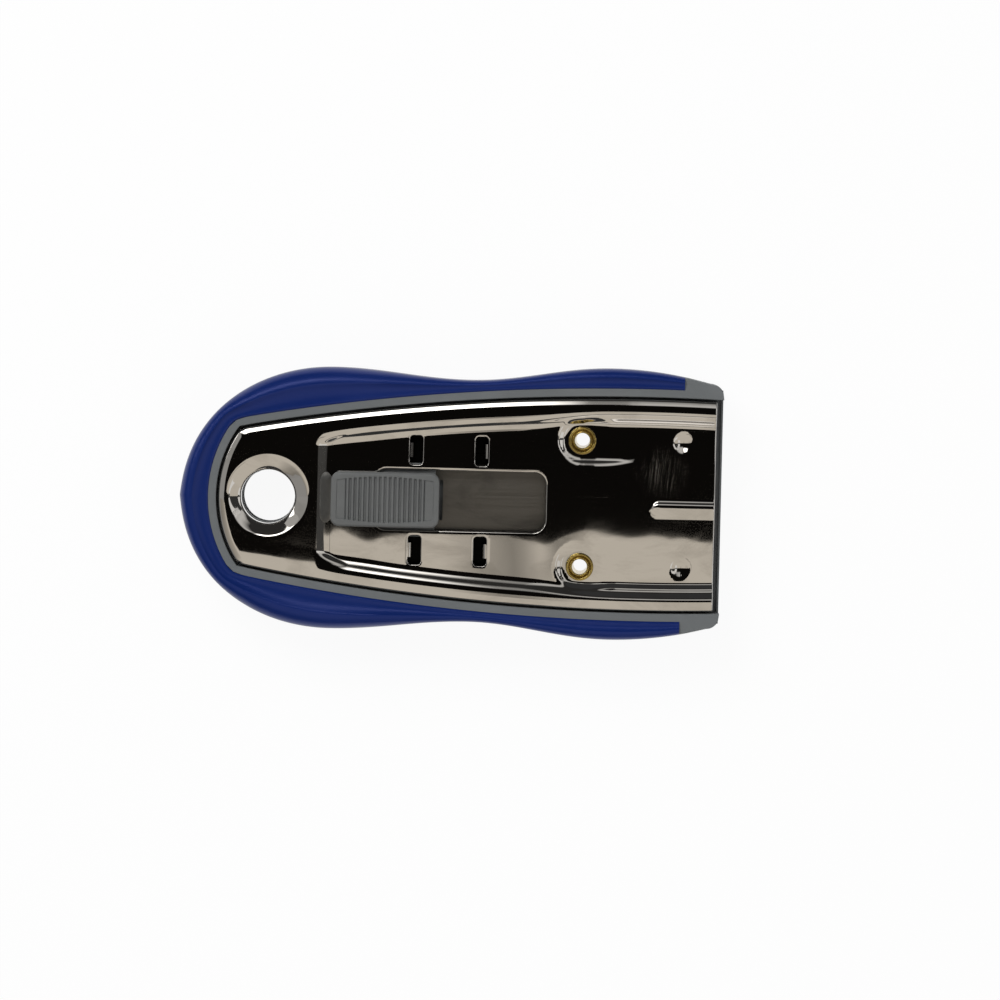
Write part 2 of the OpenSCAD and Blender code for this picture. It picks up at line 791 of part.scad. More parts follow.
module blade_carrier() {
    finger_x = spine_x + spine_l + finger_gap;
    finger_l = notch_l - 2 * finger_gap;
    finger_y = blade_w / 2 - notch_d + finger_gap;
    color(plain_steel)
    placed()
    difference() {
        union() {
            intersection() {
                box(carrier_x, wide_x, wide_half_w, carrier_z, carrier_top);
                slab(plan(-sheet - stop_gap, shell_x), carrier_z, carrier_top);
            }
            box(carrier_x, head_x + push_t, stem_half_w, carrier_z, carrier_top);
            box(head_x, spine_x + spine_l + head_ahead, head_half_w, carrier_z, carrier_top);
            box(spine_x - push_t, spine_x, push_half_w, carrier_z, carrier_top + push_h);
            both_sides()
                translate([finger_x, finger_y, carrier_z])
                    cube([finger_l, head_half_w - finger_y, spine_top - carrier_z]);
        }
        for (x = [neck_x, neck_end - lug_l])
            box(x - lug_gap, x + lug_l + lug_gap, neck_half_w + lug_gap,
                carrier_z - over, carrier_top + over);
    }
}

module blade() {
    rear = spine_x + spine_wall;
    color(blade_steel)
    placed()
    difference() {
        translate([0, blade_w / 2, 0])
            rotate([90, 0, 0])
                linear_extrude(blade_w)
                    polygon([
                        [rear, blade_z], [blade_x - bevel_l, blade_z],
                        [blade_x, blade_z + blade_t / 2],
                        [blade_x - bevel_l, blade_z + blade_t], [rear, blade_z + blade_t]]);
        both_sides()
            translate([spine_x + spine_l, blade_w / 2 - notch_d, blade_z - over])
                cube([notch_l, notch_d + over, blade_t + 2 * over]);
    }
}

module blade_spine() {
    color(plain_steel)
    placed()
    difference() {
        box(spine_x, spine_x + spine_l, blade_w / 2, carrier_top, spine_top);
        box(spine_x + spine_wall, spine_x + spine_l + over, blade_w / 2 + over,
            blade_z, blade_z + blade_t);
    }
}

// Half width of the ribbed panel, which bows outwards
function panel_w(t) = panel_end_w + (panel_mid_w - panel_end_w) * sin(180 * t);

module thumb_button() {
    panel_x = cap_x + panel_end;
    panel_l = cap_l - 2 * panel_end;
    rib_x = cap_x + cap_l / 2 - grip_rib_pitch * (grip_rib_n - 1) / 2;
    side = [for (i = [0 : panel_n]) let (t = 1 - i / panel_n)
        [panel_x + panel_l * t, panel_w(t)]];
    color(rigid_grey)
    placed()
    union() {
        difference() {
            bar(cap_x, cap_l, cap_w, cap_r, cap_z, cap_top);
            slab(concat(side, flip(side)), cap_top - panel_d, cap_top + over);
        }
        for (i = [0 : grip_rib_n - 1])
            let (x = rib_x + grip_rib_pitch * i)
            box(x - grip_rib_w / 2, x + grip_rib_w / 2, panel_w((x - panel_x) / panel_l),
                cap_top - 2 * panel_d, cap_top);
        box(neck_x, neck_end, neck_half_w, foot_z, cap_z + panel_d);
        box(neck_x, neck_end, foot_half_w, foot_z, foot_top);
        for (x = [neck_x, neck_end - lug_l])
            box(x, x + lug_l, neck_half_w, carrier_z, foot_z);
    }
}

// Height share of the bowed leaf, from its flat end to its flat crest
function leaf_rise(t) = (1 - cos(180 * t)) / 2;

module button_spring() {
    x0 = neck_x + lug_l + leaf_gap;
    x1 = neck_end - lug_l - leaf_gap;
    mid = (x0 + x1) / 2;
    rise = foot_z - carrier_top - leaf_t;
    flank = (x1 - x0 - leaf_crest) / 2 - leaf_end;
    half = concat([[x0, 0]],
        [for (i = [0 : leaf_n]) let (t = i / leaf_n) [x0 + leaf_end + flank * t, rise * leaf_rise(t)]]);
    whole = concat(half, [for (i = [len(half) - 1 : -1 : 0]) [2 * mid - half[i][0], half[i][1]]]);
    line = [for (p = whole) [p[0], carrier_top + p[1]]];
    color(blade_steel)
    placed()
    translate([0, leaf_half_w, 0])
        rotate([90, 0, 0])
            linear_extrude(2 * leaf_half_w)
                polygon(concat(line, [for (i = [len(line) - 1 : -1 : 0]) line[i] + [0, leaf_t]]));
}

// Tube with a rolled flange at both ends, standing on the pocket floor and the washer
module eyelet(y) {
    roll = flange_h / 2;
    mid_r = flange_r - roll;
    top = [for (i = [0 : roll_n * 2]) let (a = 180 * i / (roll_n * 2) - 90)
        [mid_r + roll * cos(a), front_z + roll + roll * sin(a)]];
    low = [for (i = [0 : roll_n * 2]) let (a = 180 * i / (roll_n * 2) - 90)
        [mid_r + roll * cos(a), washer_z - roll + roll * sin(a)]];
    color(gold_brass)
    placed()
    translate([eyelet_x, y, 0])
        rotate_extrude()
            polygon(concat(
                [[eyelet_r, washer_z - flange_h + eyelet_wall]],
                [[barrel_r, washer_z - flange_h]], low, [[barrel_r, washer_z], [barrel_r, front_z]],
                top, [[barrel_r, front_z + flange_h], [eyelet_r, front_z + flange_h - eyelet_wall]]));
}

module eyelet_left() {
    eyelet(eyelet_y);
}

module eyelet_right() {
    eyelet(-eyelet_y);
}

module rings(out_r, z0, z1) {
    placed()
    both_sides()
        difference() {
            drill(eyelet_x, eyelet_y, out_r, z0, z1);
            drill(eyelet_x, eyelet_y, hold_r, z0 - over, z1 + over);
        }
}

module eyelet_spacers() {
    color(plain_steel)
    rings(spacer_r, base_z, front_z - sheet);
}

module eyelet_washers() {
    color(blade_steel)
    rings(washer_r, washer_z, pocket_z);
}

handle_frame();
handle_back();
grip_sleeve();
palm_pad();
top_shell();
base_plate();
blade_carrier();
blade();
blade_spine();
thumb_button();
button_spring();
eyelet_left();
eyelet_right();
eyelet_spacers();
eyelet_washers();
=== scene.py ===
"""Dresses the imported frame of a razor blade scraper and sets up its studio.

Sizes are in millimetres and stations along the tool are counted from its rear tip, until
Surface.piece() moves every finished point into the frame, which is in metres with its origin
in the middle of the tool's flat back. X runs to the blade, Y across and Z out of the steel.
"""
from __future__ import annotations

import json
import logging
import math
from dataclasses import dataclass, field
from enum import Enum
from typing import Callable, Sequence

import bmesh
import bpy
import numpy as np
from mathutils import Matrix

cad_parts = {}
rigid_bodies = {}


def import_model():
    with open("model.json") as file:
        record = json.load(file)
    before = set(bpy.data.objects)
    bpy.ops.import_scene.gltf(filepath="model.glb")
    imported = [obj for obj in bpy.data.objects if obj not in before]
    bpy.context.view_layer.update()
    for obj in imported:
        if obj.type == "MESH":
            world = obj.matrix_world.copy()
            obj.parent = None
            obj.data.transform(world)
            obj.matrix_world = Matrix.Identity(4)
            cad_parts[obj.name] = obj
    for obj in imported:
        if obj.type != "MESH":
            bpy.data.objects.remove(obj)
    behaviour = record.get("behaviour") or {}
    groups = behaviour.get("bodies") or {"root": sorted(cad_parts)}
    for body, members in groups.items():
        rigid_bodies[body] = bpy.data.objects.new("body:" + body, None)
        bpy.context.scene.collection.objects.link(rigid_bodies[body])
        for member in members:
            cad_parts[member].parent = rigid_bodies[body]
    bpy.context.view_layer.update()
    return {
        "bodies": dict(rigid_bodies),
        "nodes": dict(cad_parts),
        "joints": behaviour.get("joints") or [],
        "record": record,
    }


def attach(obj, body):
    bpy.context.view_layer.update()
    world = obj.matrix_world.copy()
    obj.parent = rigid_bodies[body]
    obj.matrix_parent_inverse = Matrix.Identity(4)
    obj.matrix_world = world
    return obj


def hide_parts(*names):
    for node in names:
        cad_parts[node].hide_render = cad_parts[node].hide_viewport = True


LOG = logging.getLogger("scraper")
MM = 0.001
Field = Callable[[np.ndarray, np.ndarray], np.ndarray]


class Body(Enum):
    """The bodies that pieces ride on."""

    HANDLE = "handle"
    CARRIER = "carrier"
    BUTTON = "button"


class Slot(Enum):
    """The record's material slots."""

    RUBBER = "grip_rubber"
    HANDLE = "handle_plastic"
    BUTTON = "button_plastic"
    PLATED = "plated_steel"
    PLAIN = "plain_steel"
    BLADE = "blade_steel"
    BRASS = "eyelet_brass"


def smooth(t: np.ndarray) -> np.ndarray:
    """Eases a share from 0 to 1: 3t squared less 2t cubed, held at both ends."""
    t = np.clip(t, 0.0, 1.0)
    return t * t * (3.0 - 2.0 * t)


def swing(t: np.ndarray) -> np.ndarray:
    """Eases a share from 0 to 1 along half a cosine, held at both ends."""
    return 0.5 - 0.5 * np.cos(np.pi * np.clip(t, 0.0, 1.0))


def soft_min(p: np.ndarray, q: np.ndarray, k: float) -> np.ndarray:
    """The lesser of two lengths, less k times the log of 1 plus exp(-gap / k).

    Args:
        p: The first length.
        q: The second length.
        k: How widely the two are blended.

    Returns:
        The blended lesser length.
    """
    return np.minimum(p, q) - k * np.log1p(np.exp(-np.abs(p - q) / k))


@dataclass(frozen=True)
class Layout:
    """The main sizes of the tool, as its frame has them."""

    length: float = 103.0
    grip_h: float = 15.0
    rear_l: float = 29.0
    rear_half_w: float = 24.86
    rear_full: float = 2.06
    waist_x: float = 55.0
    waist_half_w: float = 22.95
    hip_x: float = 82.0
    hip_half_w: float = 25.76
    front_half_w: float = 22.6
    sleeve_x: float = 95.5
    corner_r: float = 2.4
    pocket_gap: float = 0.45
    rim_w: float = 1.5
    shell_half_w: float = 20.1
    side_r: float = 410.0
    side_x: float = 88.0
    rear_r: float = 22.8
    rear_c: float = 30.2
    shell_x: float = 101.7
    sheet: float = 0.6
    rim_z: float = 14.0
    crest_z: float = 14.2
    plateau_z: float = 13.3
    front_z: float = 12.7
    base_z: float = 9.5
    floor_z: float = 8.7
    cover_z: float = 2.0
    carrier_z: float = 9.65
    hang_x: float = 16.8
    hang_r: float = 5.0
    eyelet_x: float = 76.3
    eyelet_y: float = 12.0

    @property
    def border(self) -> float:
        """Growth of the housing's outline to the rubber's inner edge."""
        return self.pocket_gap + self.rim_w

    def side_w(self, x: np.ndarray, grow: float = 0.0) -> np.ndarray:
        """Half width at station x: the side is a circle of radius side_r + grow."""
        reach = np.sqrt((self.side_r + grow) ** 2 - (x - self.side_x) ** 2)
        return reach - (self.side_r - self.shell_half_w)

    def fan(self, angle: np.ndarray, grow: float, soft: float) -> np.ndarray:
        """Way from (rear_l, 0) to the outline, along rays counted from the rear axis.

        A ray meets a circle where the square of its way, plus twice the way times the ray's
        part towards the fan point, plus that point's power over the circle, is zero. The
        lesser of the ways to the side's and the rear's circle is taken, softly.

        Args:
            angle: The rays' angles.
            grow: Growth of the outline.
            soft: How widely the two circles are blended.

        Returns:
            The way along each ray.
        """
        drop = self.side_r - self.shell_half_w
        b = np.sin(angle) * drop - np.cos(angle) * (self.rear_l - self.side_x)
        c = (self.rear_l - self.side_x) ** 2 + drop**2 - (self.side_r + grow) ** 2
        to_side = np.sqrt(b * b - c) - b
        b = -np.cos(angle) * (self.rear_l - self.rear_c)
        c = (self.rear_l - self.rear_c) ** 2 - (self.rear_r + grow) ** 2
        to_rear = np.sqrt(b * b - c) - b
        return soft_min(to_side, to_rear, soft)

    def grip_w(self, x: np.ndarray) -> np.ndarray:
        """Half width of the whole tool in front of the round rear end.

        Half cosines run from the rear to the waist and on to the hips, and a parabola from
        there to the front corners.

        Args:
            x: Stations.

        Returns:
            The half width at each of them.
        """
        to_waist = swing((x - self.rear_l) / (self.waist_x - self.rear_l))
        to_hip = swing((x - self.waist_x) / (self.hip_x - self.waist_x))
        width = self.rear_half_w + (self.waist_half_w - self.rear_half_w) * to_waist
        width = width + (self.hip_half_w - self.waist_half_w) * to_hip
        past = np.clip((x - self.hip_x) / (self.length - self.hip_x), 0.0, None)
        return width - (self.hip_half_w - self.front_half_w) * past**2


LAYOUT = Layout()


def place_object(name: str, data: bpy.types.ID) -> bpy.types.Object:
    """Makes an object of its data and links it to the scene.

    Args:
        name: Its name.
        data: Its mesh, light or camera.

    Returns:
        The new object.
    """
    thing = bpy.data.objects.new(name, data)
    bpy.context.scene.collection.objects.link(thing)
    return thing


class Surface:
    """Collects points and faces in millimetres and turns them into one piece."""

    def __init__(self) -> None:
        """Starts with no points and no faces."""
        self.points: list[np.ndarray] = []
        self.faces: list[np.ndarray] = []
        self.count = 0

    def add(self, points: np.ndarray, *faces: np.ndarray) -> int:
        """Adds points, with faces that count from the first of them.

        Args:
            points: Array of n points by 3.
            faces: Arrays of corner indices, one row a face.

        Returns:
            The index that the first new point got.
        """
        base = self.count
        self.points.append(np.asarray(points, dtype=float).reshape(-1, 3))
        self.faces.extend(np.asarray(f) + base for f in faces if len(f))
        self.count += len(self.points[-1])
        return base

    def grid(self, points: np.ndarray, wrap_u: bool = False, wrap_v: bool = False,
             cap: bool = False) -> None:
        """Adds a grid of n by m points as quads, closed round u or v where it wraps.

        Args:
            points: Array of n by m by 3. Faces turn from the u direction to the v direction.
            wrap_u: Joins the last row to the first.
            wrap_v: Joins the last column to the first.
            cap: Closes the first and the last row with a flat face, on a grid closed round v.
        """
        n, m = points.shape[:2]
        index = np.arange(n * m).reshape(n, m)
        u = np.vstack([index, index[:1]]) if wrap_u else index
        uv = np.hstack([u, u[:, :1]]) if wrap_v else u
        quads = np.stack([uv[:-1, :-1], uv[1:, :-1], uv[1:, 1:], uv[:-1, 1:]], axis=-1)
        faces = [quads.reshape(-1, 4)]
        if cap:
            faces += [index[:1], index[-1:, ::-1]]
        self.add(points.reshape(-1, 3), *faces)

    def piece(self, name: str, body: Body, material: bpy.types.Material,
              replaces: Sequence[str] = (), merge: float = 0.0,
              recalculate: bool = False) -> None:
        """Makes the object, in metres and in place, and hangs it on its body.

        Args:
            name: The piece's name.
            body: The body that it rides on.
            material: Its material.
            replaces: The frame's nodes that it stands for.
            merge: Points closer than this become one, in millimetres; 0 leaves them.
            recalculate: Turns all faces outwards afterwards.
        """
        points = np.vstack(self.points)
        points = (points - np.array([LAYOUT.length / 2, 0.0, 0.0])) * MM
        faces = [row for block in self.faces for row in block.tolist()]
        mesh = bpy.data.meshes.new(name)
        mesh.from_pydata(points.tolist(), [], faces)
        mesh.validate()
        finish_mesh(mesh, merge * MM, recalculate)
        mesh.materials.append(material)
        thing = place_object(name, mesh)
        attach(thing, body.value)
        if replaces:
            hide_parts(*replaces)
        LOG.info("%s: %d points, %d faces", name, len(mesh.vertices), len(mesh.polygons))


def finish_mesh(mesh: bpy.types.Mesh, merge: float, recalculate: bool,
                sharp: float = 38.0) -> None:
    """Merges doubled points, smooths the shading and keeps sharp edges hard.

    Args:
        mesh: Changed in place.
        merge: Points closer than this become one, in metres; 0 leaves them.
        recalculate: Turns all faces outwards.
        sharp: Edges that turn by more degrees than this stay hard.
    """
    work = bmesh.new()
    work.from_mesh(mesh)
    if merge:
        bmesh.ops.remove_doubles(work, verts=work.verts, dist=merge)
        bmesh.ops.dissolve_degenerate(work, edges=work.edges, dist=merge / 4)
    if recalculate:
        bmesh.ops.recalc_face_normals(work, faces=work.faces)
    work.to_mesh(mesh)
    work.free()
    mesh.polygons.foreach_set("use_smooth", np.ones(len(mesh.polygons), dtype=bool))
    mesh.set_sharp_from_angle(angle=math.radians(sharp))
    mesh.update()


def circle_gap(cx: float, cy: float, r: float) -> Field:
    """Signed distance to a circle, less than zero inside: way to the centre less r."""
    return lambda x, y: np.hypot(x - cx, y - cy) - r


def rect_gap(cx: float, cy: float, half_l: float, half_w: float, r: float) -> Field:
    """Signed distance to a rectangle with round corners, less than zero inside.

    Args:
        cx: Station of its centre.
        cy: Distance of its centre from the middle line.
        half_l: Half its length.
        half_w: Half its width.
        r: Radius of its corners.

    Returns:
        The field: the way to the inner rectangle that r leaves, less r.
    """

    def gap(x: np.ndarray, y: np.ndarray) -> np.ndarray:
        """Signed distance of the points (x, y).

        Args:
            x: Stations.
            y: Distances from the middle line.

        Returns:
            Each point's signed distance.
        """
        qx = np.abs(x - cx) - (half_l - r)
        qy = np.abs(y - cy) - (half_w - r)
        out = np.hypot(np.maximum(qx, 0.0), np.maximum(qy, 0.0))
        return out + np.minimum(np.maximum(qx, qy), 0.0) - r

    return gap


@dataclass(frozen=True)
class Hole:
    """A hole in a plate: its outline and the profile of its wall.

    profile holds (way in from the outline, drop below the plate's top) pairs, from the top
    down to just before the plate's underside.
    """

    gap: Field
    profile: tuple[tuple[float, float], ...]


def slope_of(func: Field, x: np.ndarray, y: np.ndarray,
             step: float = 1e-3) -> tuple[np.ndarray, np.ndarray]:
    """Slopes of a field along x and y: central differences over `step`.

    Args:
        func: The field.
        x: Stations.
        y: Distances from the middle line.
        step: Way to either side.

    Returns:
        The slope along x and the slope along y.
    """
    gx = (func(x + step, y) - func(x - step, y)) / (2 * step)
    gy = (func(x, y + step) - func(x, y - step)) / (2 * step)
    return gx, gy


class Plate:
    """A plate on a grid of stations and lines, with holes cut along their true outlines.

    Grid points next to a hole's outline are moved onto it, so that no grid edge crosses it,
    and each cell is split along the diagonal that joins two such points.
    """

    def __init__(self, x: np.ndarray, y: np.ndarray, holes: Sequence[Hole]) -> None:
        """Moves the points next to each outline and picks the triangles to keep.

        Args:
            x: Stations of the grid, n by m, growing along the first direction.
            y: Distances from the middle line, n by m, growing along the second direction.
            holes: The holes to cut.
        """
        self.shape = x.shape
        self.holes = list(holes)
        self.x, self.y = x.copy(), y.copy()
        self.on = np.zeros(self.shape, dtype=bool)
        self.inside = np.zeros(self.shape, dtype=bool)
        if self.holes:
            self._snap()
        self.tris = self._split()

    def gap(self, x: np.ndarray, y: np.ndarray) -> np.ndarray:
        """Signed distance to the nearest hole's outline."""
        return np.min([h.gap(x, y) for h in self.holes], axis=0)

    def _snap(self) -> None:
        """Marks the nearer end of each grid edge that crosses an outline and moves it there."""
        gap = self.gap(self.x, self.y)
        self.inside = gap < 0
        for a, b in ((np.s_[:-1, :], np.s_[1:, :]), (np.s_[:, :-1], np.s_[:, 1:])):
            cross = self.inside[a] != self.inside[b]
            near = np.abs(gap[a]) <= np.abs(gap[b])
            self.on[a] |= cross & near
            self.on[b] |= cross & ~near
        for _ in range(4):
            x, y = self.x[self.on], self.y[self.on]
            gx, gy = slope_of(self.gap, x, y, 1e-5)
            out = self.gap(x, y)
            self.x[self.on] = x - out * gx
            self.y[self.on] = y - out * gy
        self.inside &= ~self.on

    def _split(self) -> np.ndarray:
        """Splits the cells into triangles and drops those that lie in a hole.

        Returns:
            The corners of each triangle that stays, as grid indices.
        """
        n, m = self.shape
        index = np.arange(n * m).reshape(n, m)
        corners = [index[:-1, :-1], index[1:, :-1], index[1:, 1:], index[:-1, 1:]]
        v = np.stack([c.ravel() for c in corners], axis=-1)
        on = self.on.ravel()
        other = on[v[:, 1]] & on[v[:, 3]] & ~(on[v[:, 0]] & on[v[:, 2]])
        first = np.where(other[:, None], v[:, [0, 1, 3]], v[:, [0, 1, 2]])
        second = np.where(other[:, None], v[:, [1, 2, 3]], v[:, [0, 2, 3]])
        tris = np.vstack([first, second])
        if not self.holes:
            return tris
        keep = ~self.inside.ravel()[tris].any(axis=1)
        middle_x = self.x.ravel()[tris].mean(axis=1)
        middle_y = self.y.ravel()[tris].mean(axis=1)
        keep &= ~(on[tris].all(axis=1) & (self.gap(middle_x, middle_y) < 0))
        return tris[keep]

    def rim_edges(self) -> np.ndarray:
        """Edges with a triangle on their left side alone, as (from, to) rows.

        Returns:
            One row for each edge.
        """
        edges = np.vstack([self.tris[:, [0, 1]], self.tris[:, [1, 2]], self.tris[:, [2, 0]]])
        size = self.x.size
        ahead = edges[:, 0] * size + edges[:, 1]
        back = edges[:, 1] * size + edges[:, 0]
        return edges[~np.isin(ahead, back)]


def strip(surface: Surface, edges: np.ndarray, rings: Sequence[np.ndarray],
          first: np.ndarray, last: np.ndarray) -> list[np.ndarray]:
    """Adds the wall beside a row of rim edges, through rings of points.

    Args:
        surface: Takes the points and the faces.
        edges: Rows of (from, to), with the plate on their left.
        rings: Arrays of one point for each grid point, from the top down.
        first: Index in the surface of each grid point on top.
        last: The same for the underside.

    Returns:
        For each ring the index in the surface of each of its points.
    """
    used = np.unique(edges)
    before = first
    placed = []
    for ring in rings:
        base = surface.add(ring[used])
        after = np.zeros(len(first), dtype=int)
        after[used] = base + np.arange(len(used))
        join_rings(surface, edges, before, after)
        placed.append(after)
        before = after
    join_rings(surface, edges, before, last)
    return placed


def join_rings(surface: Surface, edges: np.ndarray, before: np.ndarray,
               after: np.ndarray) -> None:
    """Adds the quads between two rings of points along the same rim edges.

    Args:
        surface: Takes the faces.
        edges: Rows of (from, to).
        before: The upper ring's indices in the surface.
        after: The same for the lower ring.
    """
    a, b = edges[:, 0], edges[:, 1]
    surface.faces.append(np.stack([before[b], before[a], after[a], after[b]], axis=-1))


@dataclass(frozen=True)
class Weave:
    """Lines of the grid that a housing-shaped plate is worked out on.

    edge holds the insets of the lines that follow the outline, middle the distances of the
    straight lines from the middle line outwards, and inner counts the lines between the two.
    step is the way between stations.
    """

    edge: tuple[float, ...]
    middle: tuple[float, ...]
    inner: int
    step: float
    front: float
    grow: float
    front_edge: tuple[float, ...] = ()
    straight_x: float = 27.0

    def lines(self) -> tuple[np.ndarray, np.ndarray]:
        """Stations and distances of the grid's points, n by m each.

        Near the outline the lines keep their inset from the side's and the rear's circles.
        Further in, the stations straighten out by straight_x. Each point is where its two
        lines meet, found by taking them in turns.

        Returns:
            The points' stations and distances.
        """
        edge = np.array(self.edge)
        deep = edge[-1]
        rear_r = LAYOUT.rear_r + self.grow
        start = LAYOUT.rear_c - rear_r + deep
        stop = self.front - (self.front_edge[0] if self.front_edge else 0.0)
        inner_x = np.linspace(start, stop, int(round((stop - start) / self.step)) + 1)[1:]
        ahead = self.front - np.array(self.front_edge[1:]) if self.front_edge else np.empty(0)
        station = np.concatenate([LAYOUT.rear_c - rear_r + edge, inner_x, ahead])
        radius = np.concatenate([rear_r - edge, np.full(len(inner_x) + len(ahead), rear_r - deep)])
        bend = 1.0 - swing((station - start) / (self.straight_x - start))
        shares = np.arange(1, self.inner) / self.inner
        middle = np.array(self.middle)
        half = len(edge) + len(shares) + len(middle)
        x = np.repeat(station[:, None], 2 * half - 1, axis=1)
        for _ in range(8):
            width = LAYOUT.side_w(x[:, half - 1:], self.grow)
            inner_w = width[:, len(middle):len(middle) + len(shares)] - deep - middle[-1]
            high = np.concatenate([
                np.repeat(middle[None, :], len(station), axis=0),
                middle[-1] + inner_w * shares[None, :],
                width[:, -len(edge):] - edge[None, ::-1]], axis=1)
            y = np.concatenate([-high[:, :0:-1], high], axis=1)
            sag = radius[:, None] - np.sqrt(np.maximum(radius[:, None] ** 2 - y**2, 4.0))
            x = station[:, None] + bend[:, None] * sag
        return x, y

    def rounded(self, x: np.ndarray, y: np.ndarray, soft: float,
                fade: float = 1.5) -> tuple[np.ndarray, np.ndarray]:
        """Draws points at the rear corners in, so that the outline is round there.

        Each point moves towards the fan point by the share that the soft outline lies inside
        the sharp one along its ray, less the further in it is.

        Args:
            x: Stations.
            y: Distances from the middle line.
            soft: How widely the two circles are blended.
            fade: Way in over which the pull dies down.

        Returns:
            The moved stations and distances.
        """
        behind = LAYOUT.rear_l - x
        angle = np.arctan2(np.abs(y), behind)
        sharp = LAYOUT.fan(angle, self.grow, 1e-3)
        share = 1.0 - LAYOUT.fan(angle, self.grow, soft) / sharp
        inset = np.clip(sharp - np.hypot(behind, y), 0.0, None)
        pull = np.where(behind > 0, share * np.exp(-inset / fade), 0.0)
        return x + pull * behind, y - pull * y


def arc_steps(r: float, n: int) -> tuple[float, ...]:
    """Insets of n steps along a quarter circle of radius r: r times (1 less the cosine)."""
    return tuple(r * (1.0 - math.cos(0.5 * math.pi * i / n)) for i in range(n + 1))


